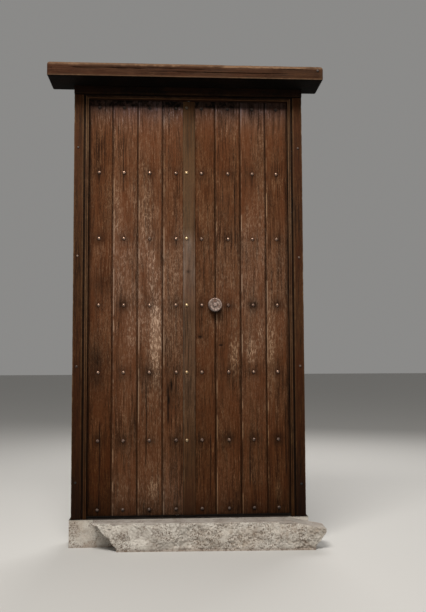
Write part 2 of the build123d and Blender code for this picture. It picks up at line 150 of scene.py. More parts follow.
def latticeNoise(u, v, w, seed):
    # value noise: a whole-number hash at the eight corners round each point, eased between them, 0 to 1
    u, v, w = np.broadcast_arrays(u, v, w)
    cells = [np.floor(k) for k in (u, v, w)]
    parts = [k - c for k, c in zip((u, v, w), cells)]
    eased = [p * p * (3.0 - 2.0 * p) for p in parts]
    iu, iv, iw = (c.astype(np.int64) for c in cells)
    primeU, primeV, primeW = cellPrimes
    total = np.zeros(u.shape)
    for du in (0, 1):
        for dv in (0, 1):
            for dw in (0, 1):
                key = (iu + du) * primeU ^ (iv + dv) * primeV ^ (iw + dw) * primeW ^ seed * seedPrime
                key &= fullWord
                key = ((key ^ (key >> 13)) * mixPrime) & fullWord
                key ^= key >> 16
                share = 1.0
                for step, ease in zip((du, dv, dw), eased):
                    share = share * (ease if step else 1.0 - ease)
                total += share * (key / fullWord)
    return total


def layeredNoise(u, v, w, seed, layers=4, gain=0.5):
    # noise added to itself at doubled pitch and lesser weight, 0 to 1 about a mean of a half
    total, weight, share = 0.0, 0.0, 1.0
    for k in range(layers):
        total = total + share * latticeNoise(u * 2 ** k, v * 2 ** k, w * 2 ** k, seed + 17 * k)
        weight += share
        share *= gain
    return total / weight


def smoothStep(low, high, value):
    # 0 up to low and 1 from high; between them, three times the share's square less twice its cube
    part = np.clip((value - low) / (high - low), 0.0, 1.0)
    return part * part * (3.0 - 2.0 * part)


def between(low, high, ease, value):
    # 1 between low and high, eased to 0 within them
    return smoothStep(low, low + ease, value) * (1 - smoothStep(high - ease, high, value))


def bell(away, width):
    # 1 in the middle, falling off as e to the minus square of the distance in widths
    return np.exp(-(away / width) ** 2)


def ovalBell(across, halfWide, along, halfHigh):
    # a bell about a point, with a width of its own each way, the two squares being added
    return np.exp(-((across / halfWide) ** 2 + (along / halfHigh) ** 2))


def strongest(layer, *others):
    # the greatest of several layers at each point
    for other in others:
        layer = np.maximum(layer, other)
    return layer


def linearTone(red, green, blue):
    # display values from 0 to 255 as linear light, with full cover
    tones = [((c / 255 + 0.055) / 1.055) ** 2.4 if c > 10 else c / 255 / 12.92 for c in (red, green, blue)]
    return (*tones, 1.0)


# Meshes from arrays


def makePiece(name, points, faces, marks, material, body, replaced, sharpAngle=40.0):
    # one object from points and faces, turned right side out, with marks of one or three numbers a point
    mesh = bpy.data.meshes.new(name)
    mesh.from_pydata(points.tolist(), [], faces)
    mesh.calc_loop_triangles()
    corners = np.empty(len(mesh.loop_triangles) * 3, np.int64)
    mesh.loop_triangles.foreach_get("vertices", corners)
    a, b, c = (points[corners[k::3]] for k in range(3))
    sixVolumes = np.einsum("ij,ij->i", a, np.cross(b, c)).sum()
    if sixVolumes < 0:
        mesh.flip_normals()
    for markName, values in marks.items():
        values = np.ascontiguousarray(values, np.float32).ravel()
        kind, field = ("FLOAT", "value") if len(values) == len(points) else ("FLOAT_VECTOR", "vector")
        mesh.attributes.new(markName, kind, "POINT").data.foreach_set(field, values)
    mesh.polygons.foreach_set("use_smooth", np.ones(len(mesh.polygons), bool))
    mesh.set_sharp_from_angle(angle=math.radians(sharpAngle))
    mesh.materials.append(material)
    mesh.update()
    piece = addObject(name, mesh)
    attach(piece, body)
    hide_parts(*replaced)
    return piece


def gridFaces(rows, columns):
    # quads of a rows by columns grid of points whose columns close on themselves
    r, c = (k.ravel() for k in np.meshgrid(np.arange(rows - 1), np.arange(columns), indexing="ij"))
    after = (c + 1) % columns
    return np.stack([r * columns + c, r * columns + after, (r + 1) * columns + after, (r + 1) * columns + c],
                    axis=1).tolist()


def roundTurn(around):
    # cosine and sine of equal steps of one whole turn
    turn = np.linspace(0, 2 * math.pi, around, endpoint=False)
    return np.cos(turn), np.sin(turn)


def turnedFaces(rings, around, pole=0):
    # faces of a turned piece, its points being its pole and then its rings: quads, a fan and a flat end
    first = pole + 1
    last = first + (rings - 1) * around
    faces = [[first + v for v in quad] for quad in gridFaces(rings, around)]
    faces += [[pole, first + (c + 1) % around, first + c] for c in range(around)]
    faces.append([last + c for c in range(around)][::-1])
    return faces


def squareCorners(step, *places):
    # corners of an outline without roundness or wear
    return [(across, deep, 0, 0, step) for across, deep in places]


def mirrored(corners, side):
    # the corners carried over to the given side of the middle
    return [(side * corner[0], *corner[1:]) for corner in corners]


def fromMiddle(low, high, side):
    # a piece's nearer and further X, counted from the middle of the door
    return (low.x, high.x) if side > 0 else (-high.x, -low.x)


def closedOutline(corners, chords=4, wearReach=0.0032):
    # corners of a closed outline, each (across, depth, roundness, wear, step along the edge that follows);
    # a corner becomes a bent arc of chords, and each edge is cut into equal steps
    places = np.array([c[:2] for c in corners], float)
    points, wears = [], []
    for k, (_, _, r, wear, step) in enumerate(corners):
        here, before, after = places[k], places[k - 1], places[(k + 1) % len(corners)]
        nextR = corners[(k + 1) % len(corners)][2]
        towardsBefore = (before - here) / np.linalg.norm(before - here)
        towardsAfter = (after - here) / np.linalg.norm(after - here)
        start, finish = here + towardsBefore * r, here + towardsAfter * r
        for t in np.linspace(0, 1, chords + 1) if r > 0 else [0.0]:
            points.append((1 - t) ** 2 * start + 2 * t * (1 - t) * here + t * t * finish)
            wears.append(wear)
        length = np.linalg.norm(after - here) - r - nextR
        steps = max(1, int(round(length / step)))
        for j in range(1, steps):
            points.append(finish + towardsAfter * length * j / steps)
            wears.append(0.0)
    points = np.array(points)
    gaps = np.linalg.norm(np.roll(points, -1, axis=0) - points, axis=1)
    run = np.concatenate([[0.0], np.cumsum(gaps)[:-1]])
    girth = gaps.sum()
    tangent = np.roll(points, -1, axis=0) - np.roll(points, 1, axis=0)
    tangent /= np.linalg.norm(tangent, axis=1)[:, None]
    area = 0.5 * np.sum(points[:, 0] * np.roll(points[:, 1], -1) - points[:, 1] * np.roll(points[:, 0], -1))
    outward = np.stack([tangent[:, 1], -tangent[:, 0]], axis=1) * (1 if area > 0 else -1)
    wears = np.array(wears)
    worn = np.zeros(len(points))
    for k in np.flatnonzero(wears > 0):
        away = np.abs(run - run[k])
        worn = np.maximum(worn, wears[k] * bell(np.minimum(away, girth - away), wearReach))
    return {"points": points, "outward": outward, "run": run, "worn": worn}


def endRows(length, step, edge=(0.0, 0.0012, 0.003, 0.006)):
    # places along a board, close together at its two ends
    count = max(2, int(round((length - 2 * edge[-1]) / step)))
    middle = np.linspace(edge[-1], length - edge[-1], count)
    return np.concatenate([edge[:-1], middle, length - np.array(edge[:-1])[::-1]])


def sweptBoard(name, node, wood, body, outline, start, finish, level, look, marksOf, endReach=0.0035):
    # the outline carried from start to finish along Z, or along X where it is level; each point sinks along
    # the outline's normal by fibre ridges, a slow sway, chipped arrises and worn ends
    seed = look["seed"]
    points, outward, run, worn = (outline[k] for k in ("points", "outward", "run", "worn"))
    start, finish = (np.broadcast_to(np.asarray(end, float), run.shape) for end in (start, finish))
    along = endRows(float((finish - start).max()), look["rowStep"])
    s = start[None, :] + (along / along[-1])[:, None] * (finish - start)[None, :]
    g, across, deep = (np.broadcast_to(k[None, :], s.shape) for k in (run, points[:, 0], points[:, 1]))
    fibre = layeredNoise(g * look["fibrePitch"], s * look["fibrePitch"] * 0.045, 0.5, seed, 3, 0.6)
    sway = layeredNoise(g * 14, s * 1.7, 0.5, seed + 3, 3)
    chip = layeredNoise(g * 40, s * 38, 0.5, seed + 5, 4, 0.6)
    slowChip = layeredNoise(g * 3, s * 4.5, 0.5, seed + 6, 3)
    bite = smoothStep(0.48, 0.80, 0.45 * chip + 0.55 * slowChip)
    toEnd = np.minimum(along, along[-1] - along)[:, None]
    endWear = bell(toEnd, endReach) * look["endWear"] * (0.4 + 1.2 * chip)
    depth = look["fibreDepth"] * fibre + look["swayDepth"] * sway
    depth = depth + worn[None, :] * (look["arrisWear"] * (0.25 + 0.5 * chip) + look["chipDepth"] * bite)
    marks = marksOf(across, deep, s, outward)
    depth = depth + endWear + marks.pop("depth", 0.0)
    moved = points[None, :, :] - outward[None, :, :] * depth[:, :, None]
    places = [s, moved[:, :, 1], moved[:, :, 0]] if level else [moved[:, :, 0], moved[:, :, 1], s]
    places = np.stack(places, axis=2).reshape(-1, 3)
    rows, columns = s.shape
    faces = gridFaces(rows, columns)
    faces.append(list(range(columns)))
    faces.append(list(range(rows * columns - 1, (rows - 1) * columns - 1, -1)))
    marks.setdefault("worn", np.clip(worn[None, :] * (0.35 + 1.3 * bite + 0.5 * (chip - 0.5)), 0, 1))
    for wanted in ("dirtAndShade", "pale", "crack", "shade"):
        marks.setdefault(wanted, 0.0)
    marks = {k: np.broadcast_to(v, s.shape) for k, v in marks.items()}
    marks["grainPlace"] = np.stack([across + 0.37 * seed, deep + 0.11 * seed, s + 0.53 * seed], axis=2)
    makePiece(name, places, faces, marks, timbers[wood + "Timber"], body, [node])


# Shader nodes


class NodeDesk:
    # one tree of shader nodes, with a short call for each kind of node that the finishes use
    def __init__(self, tree):
        self.tree = tree

    def plug(self, source, target):
        # joins an output to an input, or sets the input to a plain value
        if isinstance(source, bpy.types.NodeSocket):
            self.tree.links.new(source, target)
        else:
            target.default_value = source

    def add(self, kind, inputs, **settings):
        # a new node with its settings, its inputs plugged or set; gives its outputs
        made = self.tree.nodes.new("ShaderNode" + kind)
        for key, value in settings.items():
            setattr(made, key, value)
        for label, value in inputs.items():
            self.plug(value, made.inputs[label])
        return made.outputs

    def math(self, operation, *values, clamp=False):
        return self.add("Math", dict(enumerate(values)), operation=operation, use_clamp=clamp)[0]

    def times(self, a, b, clamp=False):
        return self.math("MULTIPLY", a, b, clamp=clamp)

    def timesPlus(self, a, b, c):
        return self.math("MULTIPLY_ADD", a, b, c)

    def spread(self, value, low, high, newLow=0.0, newHigh=1.0):
        # moves a value from one range to another, eased at both ends, and holds it there
        return self.add("MapRange", {"Value": value, "From Min": low, "From Max": high, "To Min": newLow,
                                     "To Max": newHigh}, interpolation_type="SMOOTHSTEP")["Result"]

    def noise(self, place, scale, detail, roughness=0.55):
        return self.add("TexNoise", {"Vector": place, "Scale": scale, "Detail": detail,
                                     "Roughness": roughness})["Fac"]

    def stretched(self, vector, scale):
        return self.add("VectorMath", {0: vector, 1: scale}, operation="MULTIPLY")[0]

    def blend(self, share, first, second):
        return self.add("Mix", {0: share, 6: first, 7: second}, data_type="RGBA")[2]

    def mark(self, name, kind="Fac"):
        return self.add("Attribute", {}, attribute_type="GEOMETRY", attribute_name=name)[kind]

    def group(self, group, **values):
        return self.add("Group", values, node_tree=group)

    def bump(self, height, strength, distance):
        return self.add("Bump", {"Strength": strength, "Distance": distance, "Height": height})["Normal"]


def newGroup(name, numbers, outputs):
    # a group that takes a vector called Place and the named numbers
    group = bpy.data.node_groups.new(name, "ShaderNodeTree")
    group.interface.new_socket("Place", in_out="INPUT", socket_type="NodeSocketVector")
    for label, value in numbers.items():
        group.interface.new_socket(label, in_out="INPUT", socket_type="NodeSocketFloat").default_value = value
    for label in outputs:
        group.interface.new_socket(label, in_out="OUTPUT", socket_type="NodeSocketFloat")
    source, result = group.nodes.new("NodeGroupInput"), group.nodes.new("NodeGroupOutput")
    return NodeDesk(group), source.outputs, result.inputs


# each noise's pitch across and along the grain, its detail and its roughness
grainPlan = {"warp": (7.0, 2.2, 2.0, 0.55), "streaks": (120.0, 3.2, 3.0, 0.6),
             "flecks": (250.0, 13.0, 4.0, 0.62), "fine": (420.0, 110.0, 3.0, 0.7),
             "pores": (560.0, 44.0, 2.0, 0.6), "specks": (185.0, 44.0, 4.0, 0.78),
             "blotch": (8.0, 3.4, 4.0, 0.6)}


def buildTimberGrain():
    # long streaks, thin fibres with small grain on them, broad blotches, dark pores and loose specks, along
    # the third coordinate of a board's own place; all but the specks and blotches sway a little
    desk, source, result = newGroup("timberGrain", {},
                                    ["Streaks", "Flecks", "Blotch", "Pores", "Specks", "Height"])
    place = source["Place"]

    def grainNoise(name, at):
        across, along, detail, roughness = grainPlan[name]
        return desk.noise(desk.stretched(at, (across, across, along)), 1.0, detail, roughness)

    sway = desk.add("CombineXYZ", {"X": desk.timesPlus(grainNoise("warp", place), 0.014, -0.007)})[0]
    swayed = desk.add("VectorMath", {0: place, 1: sway}, operation="ADD")[0]
    flecks, fine = grainNoise("flecks", swayed), grainNoise("fine", swayed)
    desk.plug(grainNoise("streaks", swayed), result["Streaks"])
    desk.plug(desk.timesPlus(fine, 0.4, desk.times(flecks, 0.6)), result["Flecks"])
    desk.plug(grainNoise("blotch", place), result["Blotch"])
    desk.plug(desk.spread(grainNoise("pores", swayed), 0.58, 0.70), result["Pores"])
    desk.plug(desk.spread(grainNoise("specks", place), 0.51, 0.59), result["Specks"])
    desk.plug(desk.timesPlus(fine, 0.5, desk.times(flecks, 0.7)), result["Height"])
    return desk.tree


def buildPatchyStain():
    # cloudy patches at two sizes, for dirt, dust, rust and lichen
    desk, source, result = newGroup("patchyStain", {"Scale": 6.0, "Low": 0.45, "High": 0.70}, ["Mask"])
    broad = desk.noise(source["Place"], source["Scale"], 4.0, 0.65)
    small = desk.noise(source["Place"], desk.times(source["Scale"], 9.0), 3.0, 0.6)
    mixed = desk.timesPlus(small, 0.35, desk.times(broad, 0.65))
    desk.plug(desk.spread(mixed, source["Low"], source["High"]), result["Mask"])
    return desk.tree


timberGrain = buildTimberGrain()
patchyStain = buildPatchyStain()


def newMaterial(name):
    # a material, a desk for its nodes and its shader's own inputs
    material = bpy.data.materials.new(name)
    material.use_nodes = True
    return material, NodeDesk(material.node_tree), material.node_tree.nodes["Principled BSDF"].inputs


def tonesOf(look, *names):
    # the named colours of a look as linear light
    return [linearTone(*look[name]) for name in names]


# Weathered timber, one finish for every wooden piece with its own colours

# each look's dirt tone is its darkest, laid on for real dirt, for painted shade and in the pores
timberLooks = {
    "boardTimber": {"deep": (40, 22, 10), "mid": (96, 63, 42), "red": (89, 54, 33), "dry": (174, 146, 124),
                    "dirtAndShade": (9, 5, 2), "dryShare": 0.34, "poreShare": 0.50, "speckShare": 0.95,
                    "paleShare": 0.16, "rough": (0.70, 0.90), "bump": 0.6, "gloss": 0.06},
    "frameTimber": {"deep": (30, 17, 8), "mid": (70, 44, 25), "red": (64, 36, 19), "dry": (116, 90, 66),
                    "dirtAndShade": (7, 4, 2), "dryShare": 0.30, "poreShare": 0.45, "speckShare": 0.50,
                    "paleShare": 0.30, "rough": (0.66, 0.88), "bump": 0.5, "gloss": 0.08},
    "lintelTimber": {"deep": (32, 17, 8), "mid": (59, 36, 22), "red": (57, 32, 19), "dry": (122, 98, 79),
                     "dirtAndShade": (7, 4, 2), "dryShare": 0.14, "poreShare": 0.40, "speckShare": 0.35,
                     "paleShare": 0.55, "rough": (0.72, 0.92), "bump": 0.7, "gloss": 0.08},
    "stripTimber": {"deep": (44, 29, 18), "mid": (85, 60, 40), "red": (78, 51, 33), "dry": (126, 106, 86),
                    "dirtAndShade": (9, 5, 3), "dryShare": 0.20, "poreShare": 0.20, "speckShare": 0.20,
                    "paleShare": 0.45, "rough": (0.66, 0.84), "bump": 0.25, "gloss": 0.10},
    "ledgeTimber": {"deep": (52, 33, 20), "mid": (98, 68, 45), "red": (92, 58, 36), "dry": (146, 120, 94),
                    "dirtAndShade": (20, 12, 8), "dryShare": 0.35, "poreShare": 0.45, "speckShare": 0.40,
                    "paleShare": 0.30, "rough": (0.70, 0.90), "bump": 0.5, "gloss": 0.15},
}
inCracks = (0.004, 0.0025, 0.0015, 1.0)
shadePowers = (1.0, 1.42, 2.20)  # red, green and blue, since darker wood is also warmer


def timberFinish(name, look):
    # streaks, flecks and blotches between the tones, then dry fibres, worn arrises, brightness by the shade
    # mark, real dirt and painted shade from one dark mark, and cracks
    material, desk, surface = newMaterial(name)
    place = desk.mark("grainPlace", "Vector")
    grain = desk.group(timberGrain, Place=place)
    stain = desk.group(patchyStain, Place=place, Scale=7.0, Low=0.42, High=0.66)
    deep, mid, red, dry, dirtAndShade = tonesOf(look, "deep", "mid", "red", "dry", "dirtAndShade")
    toned = desk.timesPlus(grain["Flecks"], 0.45, desk.times(grain["Blotch"], 0.25))
    toned = desk.timesPlus(grain["Streaks"], 0.30, toned)
    warm = desk.blend(desk.spread(grain["Blotch"], 0.38, 0.62), mid, red)
    colour = desk.blend(desk.spread(toned, 0.37, 0.56), deep, warm)
    dryMask = desk.times(desk.spread(grain["Flecks"], 0.50, 0.62), look["dryShare"])
    dryMask = desk.times(dryMask, desk.math("ADD", stain["Mask"], 0.2, clamp=True))
    loose = desk.timesPlus(grain["Specks"], look["speckShare"], look["paleShare"])
    paleMask = desk.times(desk.mark("pale"), loose, clamp=True)
    colour = desk.blend(desk.math("MAXIMUM", dryMask, paleMask, clamp=True), colour, dry)
    colour = desk.blend(desk.times(grain["Pores"], look["poreShare"]), colour, dirtAndShade)
    colour = desk.blend(desk.times(desk.mark("worn"), 0.85, clamp=True), colour, dry)
    share = desk.math("ADD", desk.mark("shade"), 1.0)
    dim = desk.add("CombineXYZ", {k: desk.math("POWER", share, power)
                                  for k, power in enumerate(shadePowers)})[0]
    # the dark mark holds real dirt and painted shade alike, and takes the colour towards the dark tone
    dirtShadeMask = desk.times(desk.mark("dirtAndShade"), desk.timesPlus(stain["Mask"], 0.35, 0.75), clamp=True)
    colour = desk.blend(dirtShadeMask, desk.stretched(colour, dim), dirtAndShade)
    colour = desk.blend(desk.mark("crack"), colour, inCracks)
    desk.plug(colour, surface["Base Color"])
    desk.plug(desk.spread(grain["Flecks"], 0.3, 0.7, *look["rough"]), surface["Roughness"])
    desk.plug(look["gloss"], surface["Specular IOR Level"])
    height = desk.math("SUBTRACT", grain["Height"], desk.times(grain["Pores"], 0.5))
    desk.plug(desk.bump(height, look["bump"], 0.0012), surface["Normal"])
    return material


timbers = {name: timberFinish(name, look) for name, look in timberLooks.items()}

# Forged iron, nail metal, brass and stone, on the object's own coordinates

metalLooks = {
    "forgedIron": {"dark": (34, 30, 28), "light": (78, 70, 64), "rust": (92, 50, 26),
                   "rustRange": (0.50, 0.66), "scale": 26.0, "metal": 0.85, "rough": (0.42, 0.80),
                   "bump": 0.35},
    "nailIron": {"dark": (60, 42, 33), "light": (190, 156, 134), "rust": (62, 34, 21),
                 "rustRange": (0.50, 0.64), "scale": 150.0, "metal": 0.85, "rough": (0.30, 0.50),
                 "bump": 0.3},
    "nailBrass": {"dark": (120, 90, 60), "light": (226, 196, 152), "rust": (78, 54, 34),
                  "rustRange": (0.54, 0.70), "scale": 120.0, "metal": 0.9, "rough": (0.28, 0.6), "bump": 0.2},
    "knobMetal": {"dark": (100, 82, 74), "light": (182, 160, 148), "rust": (92, 56, 33),
                  "rustRange": (0.50, 0.62), "scale": 110.0, "metal": 0.55, "rough": (0.40, 0.62),
                  "bump": 0.30},
    "boltSteel": {"dark": (48, 44, 42), "light": (112, 106, 100), "rust": (96, 56, 32),
                  "rustRange": (0.54, 0.70), "scale": 30.0, "metal": 0.9, "rough": (0.30, 0.66), "bump": 0.2},
}
# the near-black tone laid on for soot and for painted shade
sootShadeTone = (16, 9, 5)


def metalFinish(name, look):
    # dark and light metal in clouds, with rust where a second cloud is high; rust is rough and not metallic;
    # a dark mark, carrying soot and painted shade, takes the colour to a near-black tone and dulls it
    material, desk, surface = newMaterial(name)
    place = desk.add("TexCoord", {})["Object"]
    cloud = desk.noise(place, look["scale"], 5.0, 0.62)
    rustLow, rustHigh = look["rustRange"]
    stain = desk.group(patchyStain, Place=place, Scale=look["scale"] * 0.45, Low=rustLow,
                       High=rustHigh)["Mask"]
    dark, light, rust = tonesOf(look, "dark", "light", "rust")
    sootAndShade = desk.mark("sootAndShade")
    colour = desk.blend(desk.spread(cloud, 0.32, 0.68), dark, light)
    colour = desk.blend(stain, colour, rust)
    desk.plug(desk.blend(sootAndShade, colour, linearTone(*sootShadeTone)), surface["Base Color"])
    bare = desk.spread(stain, 0.0, 1.0, look["metal"], 0.08)
    desk.plug(desk.times(bare, desk.math("SUBTRACT", 1.0, sootAndShade)), surface["Metallic"])
    dull = desk.times(desk.math("MAXIMUM", stain, sootAndShade), 0.85)
    desk.plug(desk.math("MAXIMUM", desk.spread(cloud, 0.7, 0.3, *look["rough"]), dull), surface["Roughness"])
    desk.plug(desk.bump(desk.timesPlus(stain, 0.5, cloud), look["bump"], 0.0015), surface["Normal"])
    return material


metals = {name: metalFinish(name, look) for name, look in metalLooks.items()}

stoneLook = {"grey": (170, 162, 152), "pale": (203, 197, 187), "buff": (152, 126, 98), "sootAndShade": (20, 15, 12),
             "hollow": (86, 64, 46), "trodden": (121, 112, 105), "rough": 0.88, "bump": 0.9}


def stoneFinish(look):
    # grey and pale limestone in clouds, buff stains, brown pits that gather in groups, grey where it is
    # trodden, dark under the leaves with dirt and painted shade
    material, desk, surface = newMaterial("slabStone")
    place = desk.add("TexCoord", {})["Object"]
    cloud = desk.noise(place, 17.0, 6.0, 0.62)
    fine = desk.noise(place, 150.0, 4.0, 0.80)
    stain = desk.group(patchyStain, Place=place, Scale=5.0, Low=0.46, High=0.70)["Mask"]
    grey, pale, buff, sootAndShade, hollow, worn = tonesOf(look, "grey", "pale", "buff", "sootAndShade", "hollow", "trodden")
    colour = desk.blend(desk.spread(cloud, 0.30, 0.60), grey, pale)
    colour = desk.blend(desk.times(stain, 0.35), colour, buff)
    groups = desk.spread(desk.noise(place, 13.0, 3.0), 0.42, 0.60, 0.18, 1.0)
    pits = desk.times(desk.spread(fine, 0.50, 0.56), groups)
    colour = desk.blend(desk.times(pits, 0.85), colour, hollow)
    trodden = desk.times(desk.mark("tread"), desk.spread(fine, 0.35, 0.60, 0.95, 0.70))
    colour = desk.blend(trodden, colour, worn)
    colour = desk.blend(desk.mark("pit"), colour, hollow)
    desk.plug(desk.blend(desk.mark("sootAndShade"), colour, sootAndShade), surface["Base Color"])
    desk.plug(look["rough"], surface["Roughness"])
    desk.plug(desk.spread(desk.mark("sootAndShade"), 0.0, 0.5, 0.3, 0.0), surface["Specular IOR Level"])
    desk.plug(desk.bump(desk.timesPlus(fine, 0.5, cloud), look["bump"], 0.003), surface["Normal"])
    return material


slabStone = stoneFinish(stoneLook)
print("finishes built")


def crownSpots(node, outwards, apart=0.006, level=1e-5):
    # only the heads' crowns reach the node's face; their points, gathered where they lie close together, give
    # the nails' axes, in order of height and then of X
    mesh = nodes[node].data
    places = np.empty(len(mesh.vertices) * 3)
    mesh.vertices.foreach_get("co", places)
    places = places.reshape(-1, 3)
    reach = places[:, 1] * outwards
    left = places[reach > reach.max() - level][:, [0, 2]]
    spots = []
    while len(left):
        near = np.linalg.norm(left - left[0], axis=1) < apart
        spots.append((left[near].min(axis=0) + left[near].max(axis=0)) / 2)
        left = left[~near]
    return np.array(sorted(spots, key=lambda spot: (round(spot[1], 3), spot[0])))


# Planks, with the marks that each one shows

plankPlan = {"frontStep": 0.0023, "hiddenStep": 0.006, "rowStep": 0.0070, "round": 0.0022, "backRound": 0.001,
             "tongue": 0.008, "tongueThick": 0.008, "tongueSlack": 0.0003, "seam": 0.003, "fibrePitch": 150.0,
             "fibreDepth": 0.0005, "swayDepth": 0.0006, "arrisWear": 0.0005, "chipDepth": 0.0012,
             "endWear": 0.0016}

# brightness up the boards: darker low down, and raised near the head as painted light against the lintel's
# shadow; how far painted shade reaches beside the stops, how far the foot darkens, the reach of the knob's
# painted shadow, and the size of the nails' stains
plankTone = {"z": [0.14, 0.45, 0.80, 1.15, 1.45, 1.65, 1.90, 2.02, 2.08, 2.13, 2.17],
             "tone": [0.66, 0.66, 0.84, 0.95, 0.95, 0.84, 0.76, 0.84, 1.05, 1.40, 1.85],
             "stopShadeReach": 0.012, "atFoot": 0.09, "knobShadowReach": 0.041, "roundNail": (0.0125, 0.0135)}

# For each plank: brightness against the common tone and again at its foot, share of whitish dry wood, and its
# own marks. Cracks are (x, from z, to z, half width, depth), knots are (x, z, half width, half height), and
# bleached and soiled patches are (x, z, half width, half height, strength).
plankMarks = {
    1: {"lift": -0.13, "foot": -0.25, "dry": 0.20, "cracks": [(-0.440, 0.16, 0.62, 0.0011, 0.004)],
        "soiled": [(-0.460, 0.86, 0.05, 0.13, 0.75), (-0.440, 1.28, 0.05, 0.08, 0.5)],
        "bleached": [(-0.400, 1.72, 0.03, 0.20, 0.35)]},
    2: {"lift": 0.06, "foot": 0.25, "dry": 0.30, "cracks": [(-0.330, 1.72, 2.05, 0.0010, 0.004)],
        "soiled": [(-0.320, 1.17, 0.04, 0.05, 0.55)],
        "bleached": [(-0.290, 1.10, 0.03, 0.20, 0.55), (-0.360, 1.62, 0.03, 0.22, 0.45),
                     (-0.330, 0.26, 0.04, 0.10, 0.35)]},
    3: {"lift": 0.06, "foot": 0.25, "dry": 0.35, "cracks": [(-0.212, 0.35, 0.80, 0.0010, 0.004)],
        "soiled": [(-0.200, 0.83, 0.05, 0.06, 0.6)],
        "bleached": [(-0.166, 1.02, 0.026, 0.20, 2.0), (-0.178, 1.34, 0.030, 0.14, 0.9),
                     (-0.200, 1.60, 0.045, 0.20, 0.75), (-0.175, 0.27, 0.040, 0.10, 0.55)]},
    4: {"lift": 0.0, "foot": 0.5, "dry": 0.30, "cracks": [(-0.104, 0.56, 0.80, 0.0016, 0.005)],
        "knots": [(-0.088, 0.775, 0.0045, 0.030), (-0.100, 0.700, 0.0045, 0.026)],
        "soiled": [(-0.090, 0.74, 0.03, 0.09, 0.5)], "bleached": [(-0.070, 1.32, 0.03, 0.12, 0.5)]},
    5: {"lift": -0.15, "foot": 0.15, "dry": 0.22, "cracks": [(0.105, 0.20, 0.55, 0.0010, 0.004)],
        "knots": [(0.054, 1.011, 0.0135, 0.0062)], "bleached": [(0.054, 0.98, 0.02, 0.03, 0.5)]},
    6: {"lift": -0.08, "foot": 0.25, "dry": 0.25, "cracks": [(0.232, 1.45, 1.80, 0.0010, 0.004)],
        "knots": [(0.158, 0.971, 0.0105, 0.0036)],
        "bleached": [(0.225, 0.93, 0.025, 0.10, 0.85), (0.180, 1.55, 0.03, 0.10, 0.5)]},
    7: {"lift": 0.02, "foot": 0.0, "dry": 0.28, "cracks": [(0.300, 0.25, 0.50, 0.0010, 0.004)],
        "bleached": [(0.310, 0.95, 0.03, 0.08, 0.8), (0.360, 1.02, 0.02, 0.12, 0.6),
                     (0.300, 1.60, 0.04, 0.20, 0.5)]},
    8: {"lift": -0.06, "foot": -0.05, "dry": 0.20, "cracks": [(0.480, 0.30, 0.70, 0.0010, 0.004)],
        "bleached": [(0.408, 0.98, 0.025, 0.22, 0.9), (0.440, 0.24, 0.02, 0.05, 0.6)]},
}


def ownPatches(patches, across, along, gate):
    # the strongest of a plank's bleached or soiled ovals at each point, broken up by the gate
    found = 0.0
    for x, z, halfWide, halfHigh, strength in patches:
        found = np.maximum(found, strength * ovalBell(across - x, halfWide, along - z, halfHigh) * gate)
    return found


